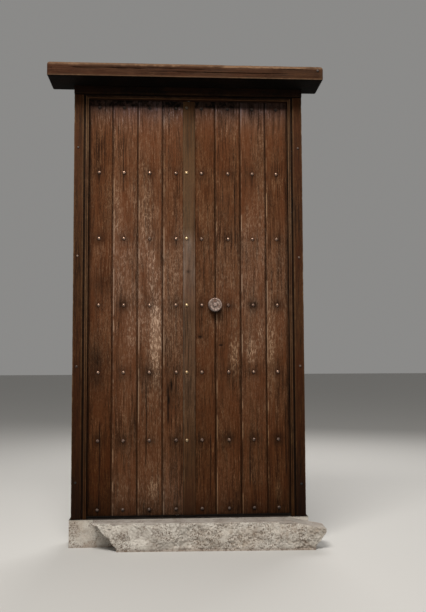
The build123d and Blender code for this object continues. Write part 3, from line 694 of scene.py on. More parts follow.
def plankMarksOf(number, low, high, faceLeft, faceRight):
    # gives the function that marks one board; cracks, nail stains, soil and bleaching are bells about their
    # own lines and places, a knot is a steep bell with ripples, and the dark mark is the strongest of its
    # causes:
    # real dirt and stains, and painted shade by the stops, under the head, in the seams and below the knob
    own, seed = plankMarks[number], 100 + number
    stopLeft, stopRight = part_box("stop_left")[1].x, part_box("stop_right")[0].x
    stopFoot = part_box("stop_head")[0].z
    knobLow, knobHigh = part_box("pull_knob")
    knobX, knobZ = (knobLow.x + knobHigh.x) / 2, (knobLow.z + knobHigh.z) / 2
    spots = crownSpots("left_plank_nails" if number < 5 else "right_plank_nails", -1)
    spots = spots[(spots[:, 0] > low.x) & (spots[:, 0] < high.x)]
    nailWide, nailHigh = plankTone["roundNail"]

    def marksOf(across, deep, along, outward):
        front = (outward[:, 1] < -0.5).astype(float)[None, :]
        rear = deep > high.y - 0.0025
        depth, crack, dirtAndShade = np.zeros((3, *across.shape))
        for x, fromZ, toZ, half, deepness in own["cracks"]:
            wander = x + 0.006 * (layeredNoise(0.5, along * 5, 0.5, seed + 31, 3) - 0.5)
            near = bell(across - wander, 2.2 * half) * between(fromZ, toZ, 0.05, along)
            crack = np.maximum(crack, near)
            depth = depth + deepness * 0.4 * near
        for x, z, halfWide, halfHigh in own.get("knots", []):
            ring = ((across - x) / halfWide) ** 2 + ((along - z) / halfHigh) ** 2
            near = np.exp(-ring ** 1.5)
            crack = np.maximum(crack, near)
            depth = depth + 0.0025 * near
            swirl = ovalBell(across - x, 2.6 * halfWide, along - z, 3.0 * halfHigh + 0.01)
            dirtAndShade = np.maximum(dirtAndShade, 0.5 * swirl * (0.5 + 0.5 * np.sin(np.sqrt(ring) * 5.0)))
        # painted shade on the boards beside the stops, where the stops' contact shadow falls
        beside = 0.85 * bell(np.clip(np.minimum(across - stopLeft, stopRight - across), 0, None),
                             plankTone["stopShadeReach"])
        foot = 0.55 * bell(along - low.z, plankTone["atFoot"])
        # a near-black band just below the head's stop: painted shadow of the stop and lintel, with some dirt
        head = 1.05 * smoothStep(stopFoot - 0.043, stopFoot - 0.029, along)
        # painted shade in the seams: along both front edges of each board and over its faces that do not face
        # the front
        atSeam = 0.65 * (bell(across - faceLeft, 0.0015) + bell(across - faceRight, 0.0021))
        inSeam = 1.25 * (outward[:, 1] > -0.35)[None, :]
        # painted shadow of the knob on the boards: a steep-edged disc set a little below the knob's middle
        fromKnob = np.hypot(across - knobX, along - knobZ + 0.007)
        knob = 0.85 * np.exp(-(fromKnob / plankTone["knobShadowReach"]) ** 6)
        dirtAndShade = strongest(dirtAndShade, beside, foot, head, atSeam, inSeam, knob)
        chipped = layeredNoise(0.5, along * 9, 0.5, seed + 51, 4, 0.6)
        # a painted highlight along each board's left arris, where light from the left falls, broken into
        # lengths and weaker high up; it goes into the worn mark
        worn = bell(across - faceLeft - 0.0036, 0.0017) * (0.08 + 0.9 * smoothStep(0.47, 0.60, chipped))
        worn = worn * (0.35 + 0.65 * smoothStep(1.95, 1.65, along))
        for k, (x, z) in enumerate(spots):  # iron stain round each nail and a short run below it
            away = ((across - x) / nailWide) ** 2 + ((along - z + 0.001) / nailHigh) ** 2
            halo = (0.85 if z < 1.3 else 0.50) * np.exp(-away / 7.0)
            halo = halo * (0.5 + 0.8 * smoothStep(0.35, 0.65, chipped))
            run = bell(across - x, 0.006) * smoothStep(z - 0.06, z - 0.01, along) * (along < z)
            run = run * (0.45 + 0.35 * math.sin(2.7 * k + seed))
            dirtAndShade = np.maximum(dirtAndShade, front * strongest(0.85 * np.exp(-away ** 2), 0.85 * halo, run))
        cloud = layeredNoise(across * 11, along * 2.3, 0.5, seed + 41, 4, 0.6)
        band = (1 - smoothStep(1.75, 2.05, along)) * (0.40 + 0.60 * smoothStep(0.6, 1.0, along))
        pale = own["dry"] * smoothStep(0.36, 0.66, cloud) * (0.35 + 0.65 * band)
        pale = np.maximum(pale, ownPatches(own["bleached"], across, along, smoothStep(0.25, 0.55, cloud)))
        soiled = ownPatches(own.get("soiled", []), across, along, smoothStep(0.25, 0.60, cloud + 0.1))
        dirtAndShade = np.maximum(dirtAndShade, soiled * front)
        # brightness by height, raised near the head as painted light; lift and foot are the board's own tone
        height = np.interp(along, plankTone["z"], plankTone["tone"])
        height = height * (1 + own["lift"]) * (1 + own["foot"] * bell(along - 0.18, 0.30))
        dirtAndShade = np.where(rear, 0.10 + 0.30 * cloud, dirtAndShade)  # the back is only dusty
        pale = np.where(rear, 0.3 * cloud, pale * front)
        return {"depth": depth * front, "crack": crack * front, "worn": worn * front, "dirtAndShade": dirtAndShade,
                "pale": pale, "shade": np.where(rear, -0.15, height - 1)}

    return marksOf


def plankCorners(side, innermost, outermost, low, high):
    # the board in plan from its edge nearest the meeting line, a groove there and a tongue on the far edge
    p = plankPlan
    near, far = fromMiddle(low, high, side)
    front, back = low.y, high.y
    tongueFront = front + (back - front - p["tongueThick"]) / 2
    tongueBack = tongueFront + p["tongueThick"]
    fine, hidden = p["frontStep"], p["hiddenStep"]
    corners = [(near, back, p["backRound"], 0, hidden)]
    if not innermost:
        grooveBack, grooveFront = tongueBack + p["tongueSlack"], tongueFront - p["tongueSlack"]
        inGroove = near + p["tongue"] - p["seam"] + p["tongueSlack"]
        corners += squareCorners(hidden, (near, grooveBack), (inGroove, grooveBack), (inGroove, grooveFront),
                                 (near, grooveFront))
    corners.append((near, front, p["round"], 1.0, fine))
    if outermost:
        corners += [(far, front, p["round"], 0.5, hidden), (far, back, p["backRound"], 0, hidden)]
    else:
        end = far - p["tongue"]
        corners.append((end, front, p["round"], 1.0, hidden))
        corners += squareCorners(hidden, (end, tongueFront), (far, tongueFront), (far, tongueBack),
                                 (end, tongueBack))
        corners.append((end, back, p["backRound"], 0, hidden))
    return mirrored(corners, side)


for number in range(1, 9):
    name = f"plank_{number}"
    low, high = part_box(name)
    side = -1 if number <= 4 else 1
    outline = closedOutline(plankCorners(side, number in (4, 5), number in (1, 8), low, high))
    faceX = outline["points"][outline["points"][:, 1] < low.y + 0.0001, 0]
    sweptBoard(f"board_{number}", name, "board", "left_leaf" if side < 0 else "right_leaf", outline, low.z,
               high.z, False, dict(plankPlan, seed=100 + number),
               plankMarksOf(number, low, high, faceX.min(), faceX.max()))
print("planks cut and weathered")

# Cover strip

stripPlan = {"frontStep": 0.0022, "hiddenStep": 0.006, "rowStep": 0.007, "round": 0.0028, "fibrePitch": 150.0,
             "fibreDepth": 0.0004, "swayDepth": 0.0006, "arrisWear": 0.0012, "chipDepth": 0.0016,
             "endWear": 0.0016, "lap": 0.0005, "seed": 209,
             "z": [0.14, 0.5, 0.75, 1.14, 1.22, 1.48, 1.56, 1.9, 2.2],
             "tone": [0.60, 0.74, 1.02, 1.08, 1.30, 1.34, 0.80, 0.66, 0.58]}


def coverStrip(plan):
    # a strip swept up Z, rounded in front; behind, the half that laps the other leaf stands clear of it
    low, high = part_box("cover_strip")
    hidden, lapped = plan["hiddenStep"], high.y - plan["lap"]
    corners = squareCorners(hidden, (low.x, high.y))
    corners += [(low.x, low.y, plan["round"], 1.0, plan["frontStep"]),
                (high.x, low.y, plan["round"], 0.3, hidden)]
    corners += squareCorners(hidden, (high.x, lapped), (0.0, lapped), (0.0, high.y))

    def marksOf(across, deep, along, outward):
        smudge = 0.85 * ovalBell(across + 0.004, 0.011, along - 1.338, 0.008)
        # painted shade along both long edges, stronger on the left, where the strip's edges cast thin shadows
        edges = bell(across - low.x, 0.0030) + 0.6 * bell(across - high.x, 0.0022)
        cloud = layeredNoise(across * 20, along * 3, 0.5, 211, 4)
        return {"dirtAndShade": strongest(smudge, edges, 0.5 * bell(along - low.z, 0.08)),
                "pale": 0.5 * smoothStep(0.4, 0.7, cloud) * smoothStep(1.1, 1.35, along),
                "shade": np.interp(along, plan["z"], plan["tone"]) - 1}

    sweptBoard("meeting_strip", "cover_strip", "strip", "left_leaf", closedOutline(corners), low.z, high.z,
               False, plan, marksOf)


coverStrip(stripPlan)
print("cover strip planed")

# Frame: jambs, head and stops

sides = {"left": -1, "right": 1}
framePlan = {"frontStep": 0.0030, "hiddenStep": 0.009, "rowStep": 0.0075, "round": 0.0030,
             "backRound": 0.0015, "fibrePitch": 130.0, "fibreDepth": 0.0006, "swayDepth": 0.0008,
             "arrisWear": 0.0014, "chipDepth": 0.0022, "endWear": 0.0010, "quirkWide": 0.006,
             "quirkDeep": 0.008}
stopPlan = dict(framePlan, fibreDepth=0.0004, swayDepth=0.0004, arrisWear=0.0006, chipDepth=0.0016,
                endWear=0.0, reedWide=0.008, reedRise=0.003, reedStep=0.002, flatStep=0.006)
frameTone = {"z": [0.13, 0.5, 1.0, 1.6, 2.1, 2.3], "tone": [0.40, 0.58, 0.80, 0.88, 0.84, 0.74]}


def frameShade(along):
    # brightness at each height, less 1, in straight lines between the listed tones: painted shade, darkest at
    # the foot and darker under the lintel
    return np.interp(along, frameTone["z"], frameTone["tone"]) - 1


def quirkedCorners(inner, outer, low, high, plan, wears, outerRound):
    # a frame timber's section, with a sunk quirk along the inner edge of its front
    fine, hidden = plan["frontStep"], plan["hiddenStep"]
    quirk, sunk = inner + plan["quirkWide"], low.y + plan["quirkDeep"]
    return [(inner, high.y, plan["backRound"], 0, hidden), *squareCorners(fine, (inner, sunk), (quirk, sunk)),
            (quirk, low.y, plan["round"], wears[0], fine), (outer, low.y, outerRound, wears[1], hidden),
            (outer, high.y, plan["backRound"], wears[2], hidden)]


def quirkShade(across, deep, inner, low, plan):
    # painted shade in the sunk quirk: 1 on its bottom, eased to 0 at the timber's face, and 0 beyond the
    # quirk's width
    inside = np.abs(across) < inner + plan["quirkWide"] + 0.0005
    return smoothStep(low.y + 0.001, low.y + plan["quirkDeep"], deep) * inside


def jambPost(sideName, side, plan):
    # the quirked section swept up Z, darkened in the quirk as painted shade and, as a patchy bell in height,
    # at its foot
    low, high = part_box(f"jamb_{sideName}")
    inner, outer = fromMiddle(low, high, side)
    corners = mirrored(quirkedCorners(inner, outer, low, high, plan, (0.7, 1.0, 0.5), plan["round"]), side)

    def marksOf(across, deep, along, outward):
        foot = 0.7 * bell(along - low.z, 0.25)
        cloud = layeredNoise(across * 12, along * 2.0, 0.5, 305 + side, 4)
        quirk = 0.9 * quirkShade(across, deep, inner, low, plan)
        return {"dirtAndShade": np.maximum(quirk, foot * (0.6 + 0.6 * cloud)), "shade": frameShade(along),
                "pale": 0.25 * smoothStep(0.45, 0.7, cloud) * smoothStep(0.6, 1.2, along)}

    sweptBoard(f"post_{sideName}", f"jamb_{sideName}", "frame", "frame", closedOutline(corners), low.z,
               high.z, False, dict(plan, seed=300 + side), marksOf)


def headRail(plan):
    # the same section swept along X, dark all over as painted shade of the lintel's shadow, darkest in the
    # quirk
    low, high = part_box("frame_head")
    corners = quirkedCorners(low.z, high.z, low, high, plan, (0.8, 0, 0), plan["backRound"])

    def marksOf(across, deep, along, outward):
        return {"dirtAndShade": np.maximum(0.95 * quirkShade(across, deep, low.z, low, plan), 0.85), "shade": -0.35}

    sweptBoard("head_rail", "frame_head", "frame", "frame", closedOutline(corners), low.x, high.x, True,
               dict(plan, seed=310), marksOf)


def stopCorners(inner, outer, front, back, plan):
    # the stop's section: two reeds as arcs, a flat to the rebate, and the plain back
    wide, rise, flat = plan["reedWide"], plan["reedRise"], plan["flatStep"]
    reeds = []
    for k in range(2):
        middle = inner + wide * (k + 0.5)
        reeds += [(middle - wide / 2 * math.cos(t), front + rise * (1 - math.sin(t)), 0, 0.5 * math.sin(t),
                   plan["reedStep"]) for t in np.linspace(0, math.pi, 9)[:-1]]
    reeds += squareCorners(plan["reedStep"], (inner + 2 * wide, front + rise))
    return (squareCorners(flat, (inner, back)) + reeds
            + squareCorners(flat, (outer, front + rise), (outer, back)))


def stopBeads(plan):
    # the two upright stops end on the mitre's slope, and the head's stop ends on it at both sides
    headLow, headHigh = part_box("stop_head")
    front, mitreZ = headLow.y, headLow.z

    def sideMarks(across, deep, along, outward):
        # dark where set back behind the reeds' crests, as painted shade; the crests paler in patches, as a
        # painted highlight
        cloud = layeredNoise(across * 30, along * 3, 0.5, 333, 3)
        crest = 1 - smoothStep(front + 0.0004, front + 0.0016, deep)
        return {"dirtAndShade": 0.95 * smoothStep(front + 0.0006, front + 0.0026, deep),
                "shade": frameShade(along) + 0.12,
                "pale": 0.7 * crest * smoothStep(0.30, 0.6, cloud) * smoothStep(0.3, 1.2, along)}

    def headMarks(across, deep, along, outward):
        # the head's stop is dark in its upper part, as painted shade of the lintel, and in the gaps between
        # its reeds, as painted shade
        reedGap = smoothStep(front + 0.0006, front + 0.0026, deep)
        upper = smoothStep(mitreZ + 0.007, mitreZ + 0.010, across)
        return {"dirtAndShade": np.clip(0.15 + 0.65 * upper + 0.5 * reedGap, 0, 1), "shade": -0.15}

    for sideName, side in sides.items():
        low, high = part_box(f"stop_{sideName}")
        inner, outer = fromMiddle(low, high, side)
        outline = closedOutline(mirrored(stopCorners(inner, outer, low.y, high.y, plan), side))
        top = mitreZ + np.abs(outline["points"][:, 0]) - inner
        sweptBoard(f"reeded_stop_{sideName}", f"stop_{sideName}", "frame", "frame", outline, low.z, top,
                   False, dict(plan, seed=320 + side), sideMarks)
    outline = closedOutline(stopCorners(mitreZ, headHigh.z, front, headHigh.y, plan))
    rise = outline["points"][:, 0] - mitreZ
    innerHalf = (headHigh.x - headLow.x) / 2 - (headHigh.z - mitreZ)
    sweptBoard("reeded_stop_head", "stop_head", "frame", "frame", outline, -innerHalf - rise,
               innerHalf + rise, True, dict(plan, seed=325), headMarks)


for sideName, side in sides.items():
    jambPost(sideName, side, framePlan)
headRail(framePlan)
stopBeads(stopPlan)
print("frame and stops dressed")

# Lintel beam, with its splits as (z, from x, to x, half width)

lintelPlan = {"frontStep": 0.0030, "hiddenStep": 0.009, "rowStep": 0.0055, "fibrePitch": 100.0,
              "fibreDepth": 0.0009, "swayDepth": 0.0014, "arrisWear": 0.0014, "chipDepth": 0.0040,
              "endWear": 0.0035, "round": 0.004, "wornRise": 0.016, "wornDepth": 0.024,
              "wornRound": (0.005, 0.007), "seed": 400, "splitDepth": 0.004,
              "splits": [(2.316, -0.60, 0.10, 0.0012), (2.300, -0.20, 0.55, 0.0011),
                         (2.325, 0.15, 0.60, 0.0010)]}


def lintelBeam(plan):
    # a beam swept along X, its front top edge worn to a slope; each split is a thin bell that wanders
    low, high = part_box("lintel_beam")
    fine, hidden = plan["frontStep"], plan["hiddenStep"]
    corners = [
        (low.z, high.y, plan["round"], 0.3, hidden),
        (low.z, low.y, plan["round"], 0.8, fine),
        (high.z - plan["wornRise"], low.y, plan["wornRound"][0], 0.8, fine),
        (high.z, low.y + plan["wornDepth"], plan["wornRound"][1], 0.4, hidden),
        (high.z, high.y, plan["round"], 0.3, hidden),
    ]

    def marksOf(across, deep, along, outward):
        # long drying splits on the front, a pale band on the sloping top that is weathering and painted light
        # from above, a painted highlight along the lower front arris, and painted shade on the underside
        front = (outward[:, 1] < -0.5).astype(float)[None, :]
        top, under = (np.clip(way * outward[:, 0], 0, 1)[None, :] for way in (1, -1))
        crack = 0.0
        for z, fromX, toX, half in plan["splits"]:
            wander = z + 0.010 * (layeredNoise(along * 3.5, 0.5, 0.5, 411, 3) - 0.5)
            crack = np.maximum(crack, bell(across - wander, half) * between(fromX, toX, 0.06, along))
        cloud = layeredNoise(along * 7, across * 30, deep * 30, 415, 4)
        pale = np.clip(top * (0.3 + 1.0 * cloud), 0, 1) + 0.12 * front * smoothStep(0.45, 0.7, cloud)
        endPale = 0.3 * bell(high.x - along, 0.014) * front
        # painted highlight along the front's lower arris
        lowEdge = 0.50 * bell(across - low.z, 0.006) * front
        # the dark mark on the underside is painted shade
        return {"depth": plan["splitDepth"] * crack * front, "crack": 0.6 * crack * front,
                "dirtAndShade": 1.2 * under, "pale": np.clip(pale + endPale + lowEdge, 0, 1), "shade": -0.16}

    sweptBoard("lintel_timber", "lintel_beam", "lintel", "frame", closedOutline(corners), low.x, high.x, True,
               plan, marksOf)


lintelBeam(lintelPlan)
print("lintel hewn")

# Ledges on the backs of the leaves

ledgePlan = {"frontStep": 0.0045, "hiddenStep": 0.008, "rowStep": 0.0075, "round": 0.003,
             "hiddenRound": 0.0005, "fibrePitch": 120.0, "fibreDepth": 0.0005, "swayDepth": 0.0005,
             "arrisWear": 0.0010, "chipDepth": 0.0016, "endWear": 0.0012, "rows": 7}


def backLedge(sideName, side, number, plan):
    # a level board swept along X behind the leaf, its two rear edges rounded
    name = f"{sideName}_ledge_{number}"
    low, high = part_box(name)
    fine, hidden = plan["frontStep"], plan["hiddenStep"]
    corners = [
        (low.z, low.y, plan["hiddenRound"], 0, hidden),
        (high.z, low.y, plan["hiddenRound"], 0, hidden),
        (high.z, high.y, plan["round"], 1.0, fine),
        (low.z, high.y, plan["round"], 1.0, hidden),
    ]

    def marksOf(across, deep, along, outward):
        cloud = layeredNoise(along * 4, across * 20, 0.5, 500 + number, 4)
        onTop = np.clip(outward[:, 0], 0, 1)[None, :]
        return {"dirtAndShade": 0.35 * smoothStep(0.5, 0.8, cloud) + 0.2 * onTop,
                "pale": 0.3 * smoothStep(0.5, 0.7, cloud),
                "shade": 0.25 * (layeredNoise(0.5, 0.5, number * 0.7, 507, 1) - 0.5)}

    sweptBoard(f"ledge_board_{sideName}_{number}", name, "ledge", f"{sideName}_leaf", closedOutline(corners),
               low.x, high.x, True, dict(plan, seed=530 + 10 * side + number), marksOf)


for sideName, side in sides.items():
    for number in range(1, ledgePlan["rows"] + 1):
        backLedge(sideName, side, number, ledgePlan)
print("ledges sawn")

# Nails: flat heads on the ironwork behind, and others by what differs from those

ironNail = {"head": 0.0065, "rise": 0.0030, "way": 1, "metal": "nailIron", "slot": "iron_nail", "sootAndShade": 0.0}
domedNail = dict(ironNail, head=0.0085, rise=0.0055, way=-1)
nailPlan = {
    "left_plank_nails": dict(domedNail, body="left_leaf"),
    "right_plank_nails": dict(domedNail, body="right_leaf"),
    "strip_nails": dict(domedNail, body="left_leaf", metal="nailBrass", slot="brass_nail"),
    "jamb_nails": dict(ironNail, body="frame", head=0.0060, rise=0.0025, way=-1, sootAndShade=0.5),
    "lintel_nail": dict(ironNail, body="frame", head=0.0070, rise=0.0025, way=-1),
    "left_iron_nails": dict(ironNail, body="left_leaf"),
    "right_iron_nails": dict(ironNail, body="right_leaf"),
    "keep_nails": dict(ironNail, body="frame"),
}
# the nails' darkening by height: dull and dark low down, and the top row as painted shade under the lintel
nailShape = {"rings": 9, "around": 28, "rim": 0.97, "shank": 0.0024, "sink": 0.0007, "taper": 0.006,
             "tip": 0.0004, "waver": 0.10, "dent": 0.16, "dentPitch": 420.0, "z": [0.2, 0.5, 0.9, 1.9, 2.1],
             "sootAndShade": [0.72, 0.38, 0.05, 0.05, 0.8]}


def forgedNails(node, plan, shape, seed):
    # a nail is a turned profile about Y: a dome whose radius wavers round it, a rim, a shank and a point
    way, head, rings, around = plan["way"], plan["head"], shape["rings"], shape["around"]
    spots = crownSpots(node, way)
    low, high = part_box(node)
    crown, tip = (low.y, high.y) if way < 0 else (high.y, low.y)
    dome = np.linspace(math.pi / 2, 0, rings)
    face = crown - way * plan["rise"]
    rim = face - way * shape["sink"]
    shank = shape["shank"]
    radii = np.append(np.cos(dome) * head, [head * shape["rim"], shank, shank, shape["tip"]])
    depths = np.append(face + way * plan["rise"] * np.sin(dome), [rim, rim, tip + way * shape["taper"], tip])
    radii, depths = radii[:, None], depths[:, None]
    inHead, inDome = (np.arange(len(radii))[:, None] < rings + k for k in (1, -1))
    over, up = roundTurn(around)
    pitch = shape["dentPitch"]
    points, faces, sootAndShades = [], [], []
    for k, (x, z) in enumerate(spots):
        waver = 1 - shape["waver"] * latticeNoise(1.3 * over + 5, 1.3 * up + 5, 0.5, seed + k)
        dent = layeredNoise(over * radii * pitch + 9, depths * pitch, up * radii * pitch, seed + k + 3, 2)
        radius = radii * np.where(inHead, waver, 1.0)
        sunk = way * plan["rise"] * shape["dent"] * dent * inDome
        places = np.stack([x + radius * over, depths - sunk, z + radius * up], axis=2)
        faces += turnedFaces(len(radii) - 1, around, sum(len(p) for p in points))
        body = places[1:].reshape(-1, 3)
        points.append(np.vstack([places[0].mean(axis=0), body]))
        drop = (body[:, 2] - z) / head
        edge = smoothStep(0.72, 0.98, np.hypot(body[:, 0] - x, body[:, 2] - z) / head)
        # each head darker on its rim and lower half as painted shade, besides the darkening by height
        common = plan["sootAndShade"] + np.interp(z, shape["z"], shape["sootAndShade"])
        sootAndShade = np.clip(common + 0.55 * edge * (drop < 0.3) + 0.25 * np.clip(-drop, 0, 1), 0, 1)
        sootAndShades.append(np.append(min(common, 1.0), sootAndShade))
    makePiece(node.replace("nails", "studs").replace("nail", "stud"), np.vstack(points), faces,
              {"sootAndShade": np.concatenate(sootAndShades)}, metals[plan["metal"]], plan["body"], [node],
              sharpAngle=50.0)
    print(node, len(spots), "nails driven")


for index, (node, plan) in enumerate(nailPlan.items()):
    forgedNails(node, plan, nailShape, 6100 + 10 * index)

# Pull knob, turned about Y

knobPlan = {"around": 120, "standOff": 0.039, "boss": 0.007, "dish": 0.0275, "dishDepth": 0.0034,
            "setBack": 0.002, "radius": 0.0345, "edgeFront": 0.008, "edgeBack": 0.014, "neck": 0.020,
            "neckRadius": 0.010, "swell": 0.001, "foot": 0.017, "footThick": 0.003, "flare": 0.005,
            "stem": 0.008, "hammer": 0.0004, "inWood": 0.0004, "dentPitch": 110.0}


def arcThrough(start, middle, end, count):
    # points of the circle through three places, from the first to the last
    (ax, ay), (bx, by), (cx, cy) = start, middle, end
    d = 2 * (ax * (by - cy) + bx * (cy - ay) + cx * (ay - by))
    a, b, c = (x ** 2 + y ** 2 for x, y in (start, middle, end))
    ux = (a * (by - cy) + b * (cy - ay) + c * (ay - by)) / d
    uy = (a * (cx - bx) + b * (ax - cx) + c * (bx - ax)) / d
    angles = [math.atan2(y - uy, x - ux) for x, y in (start, middle, end)]
    radius = math.hypot(ax - ux, ay - uy)
    forward = (angles[1] - angles[0]) % (2 * math.pi)
    full = (angles[2] - angles[0]) % (2 * math.pi)
    if forward > full:
        full -= 2 * math.pi
    sweep = angles[0] + np.linspace(0, full, count)
    return np.stack([ux + radius * np.cos(sweep), uy + radius * np.sin(sweep)], axis=1)


def straight(start, end, count):
    # equal steps along the line from start to end
    t = np.linspace(0, 1, count)[:, None]
    return np.array(start) * (1 - t) + np.array(end) * t


def knobProfile(plan, front, back):
    # radius and depth from the boss, over the dish and the rim, down the neck and the foot, to the stem's end
    wood = front + plan["standOff"]
    sunk = wood + plan["inWood"]
    rim, foot = (plan["dish"], front + plan["setBack"]), (plan["foot"], wood - plan["footThick"])
    edgeFront, edgeBack = ((plan["radius"], front + plan[k]) for k in ("edgeFront", "edgeBack"))
    neck = (plan["neckRadius"], front + plan["neck"])
    inDish = ((plan["boss"] + plan["dish"]) / 2, front + plan["dishDepth"])
    onRim = ((plan["dish"] + plan["radius"]) / 2, rim[1])
    return np.vstack([
        straight((0.0, front), (plan["boss"] * 0.9, front), 6)[:-1],
        arcThrough((plan["boss"], front + 0.0002), inDish, rim, 16)[:-1],
        arcThrough(rim, onRim, edgeFront, 9)[:-1],
        straight(edgeFront, edgeBack, 5)[:-1],
        straight(edgeBack, neck, 8)[:-1],
        arcThrough(neck, (plan["neckRadius"] + plan["swell"], foot[1] - plan["flare"]), foot, 9)[:-1],
        straight(foot, (plan["foot"], sunk), 3)[:-1],
        straight((plan["foot"], sunk), (plan["stem"], sunk), 3)[:-1],
        straight((plan["stem"], sunk), (plan["stem"], back), 8),
    ])


def pullKnob(plan):
    # the profile turned about Y, each point moved back and in by noise, as by a hammer; the dark rings are
    # bells in the radius, the rim is darker to the lower left with rust and painted shade, and the side and
    # neck behind the front edge are dark as painted shade
    low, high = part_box("pull_knob")
    x, z, front = (low.x + high.x) / 2, (low.z + high.z) / 2, low.y
    profile = knobProfile(plan, front, high.y)
    wide, deep = profile[:, :1], np.maximum(profile[:, 1:], front)
    over, up = roundTurn(plan["around"])
    pitch = plan["dentPitch"]
    dent = layeredNoise(wide * over * pitch + 7, deep * pitch, wide * up * pitch, 701, 3)
    sunk = plan["hammer"] * dent * ((deep < front + plan["standOff"] - 0.002) * (wide > 0.001))
    radius = wide - 0.7 * sunk
    places = np.stack([x + radius * over, deep + sunk, z + radius * up], axis=2)
    points = np.vstack([[[x, front, z]], places[1:].reshape(-1, 3)])
    ring = 0.65 * bell(wide - 0.0125, 0.0034) + 0.45 * bell(wide - 0.0260, 0.0022)
    lowLeft = np.clip(-0.6 * over - 0.8 * up, 0, 1)[None, :]
    ring = ring + 0.8 * lowLeft * smoothStep(0.024, 0.033, wide)
    behind = smoothStep(plan["edgeFront"] - 0.003, plan["edgeFront"] + 0.001, deep - front)
    sootAndShade = np.clip(np.where(deep < front + plan["edgeFront"], ring, 0) + 0.9 * behind, 0, 1)
    sootAndShade = np.append(0.0, sootAndShade[1:].ravel())
    makePiece("turned_knob", points, turnedFaces(len(profile) - 1, plan["around"]), {"sootAndShade": sootAndShade},
              metals["knobMetal"], "right_leaf", ["pull_knob"])


pullKnob(knobPlan)
print("knob turned")

# Threshold stone: a bed under the frame and a broken nose in front of it

stonePlan = {"step": 0.0036, "bedHalf": 0.582, "bedBack": 0.130, "noseBack": -0.006, "left": -0.462,
             "leftFoot": -0.350, "right": 0.652, "rightFoot": 0.600, "belly": 0.072, "wornFrom": 0.482,
             "wornDrop": 0.034, "frontLeft": -0.094, "frontRight": -0.126, "lip": 0.012,
             "counts": (8, 26, 6, 34, 44, 18, 14, 10), "faceRough": 0.011, "pitDepth": 0.0034, "arris": 0.007,
             "lumpDepth": 0.004, "crumbDepth": 0.0012, "bedRough": 0.0015, "topRough": 0.0022,
             "seatRough": 0.0004, "breakRough": 0.030, "boltRadius": 0.008, "socketX": -0.060,
             "socketRadius": 0.011, "socketDepth": 0.054, "socketAround": 32}


def noseLine(plan, x, top):
    # the nose's front, which runs forward towards +X, and its top, which is worn down near that end
    t = (x - plan["left"]) / (plan["right"] - plan["left"])
    worn = np.clip((x - plan["wornFrom"]) / (plan["right"] - plan["wornFrom"]), 0, 1)
    return plan["frontLeft"] + t * (plan["frontRight"] - plan["frontLeft"]), top - plan["wornDrop"] * worn


def stoneCorners(plan, x, hasNose, hasBed, top):
    # the section's nine corners (y, z) at each x: up the back, over the bed, down to the nose, over it, down
    # its front, back under it, down the bed and along the bottom to the start
    noseFront, noseTop = noseLine(plan, x, top)
    inner = np.full(len(x), plan["noseBack"])
    front = np.where(hasNose, noseFront, inner)
    leftRise = np.clip((plan["leftFoot"] - x) / (plan["leftFoot"] - plan["left"]), 0, 1) * top
    rightRise = np.clip((x - plan["rightFoot"]) / (plan["right"] - plan["rightFoot"]), 0, 1) * plan["belly"]
    broken = plan["breakRough"] * layeredNoise(x * 26, 0.5, 0.5, 799, 4, 0.6)
    under = np.maximum(leftRise, rightRise) + broken * ((leftRise > 0) | (rightRise > 0))
    under = np.minimum(under, noseTop - plan["lip"])
    floor = np.where(hasBed, 0.0, under)
    outer = np.where(hasBed, plan["bedBack"], inner)
    bedTop = np.where(hasBed, top, noseTop)
    pairs = [(outer, floor), (outer, bedTop), (inner, bedTop), (inner, noseTop), (front, noseTop),
             (front, under), (inner, under), (inner, floor), (outer, floor)]
    return np.array(pairs).transpose(2, 0, 1)


def boreSocket(slab, plan, top):
    # the bolt's socket: a round plug of its size is cut out of the slab's mesh
    around, radius = plan["socketAround"], plan["socketRadius"]
    middleX, middleY = plan["socketX"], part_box("bottom_bolt")[0].y + plan["boltRadius"]
    over, up = roundTurn(around)
    ring = np.stack([middleX + radius * over, middleY + radius * up, 0 * up], axis=1)
    points = np.vstack([ring + [0, 0, top - plan["socketDepth"]], ring + [0, 0, top + 0.02]])
    faces = gridFaces(2, around) + [list(range(around))[::-1], list(range(around, 2 * around))]
    mesh = bpy.data.meshes.new("socketPlug")
    mesh.from_pydata(points.tolist(), [], faces)
    plug = addObject("socketPlug", mesh)
    cut = slab.modifiers.new("socket", "BOOLEAN")
    cut.operation = "DIFFERENCE"
    cut.solver = "EXACT"
    cut.object = plug
    finished = bpy.data.meshes.new_from_object(slab.evaluated_get(bpy.context.evaluated_depsgraph_get()))
    slab.modifiers.clear()
    slab.data = finished
    bpy.data.objects.remove(plug)


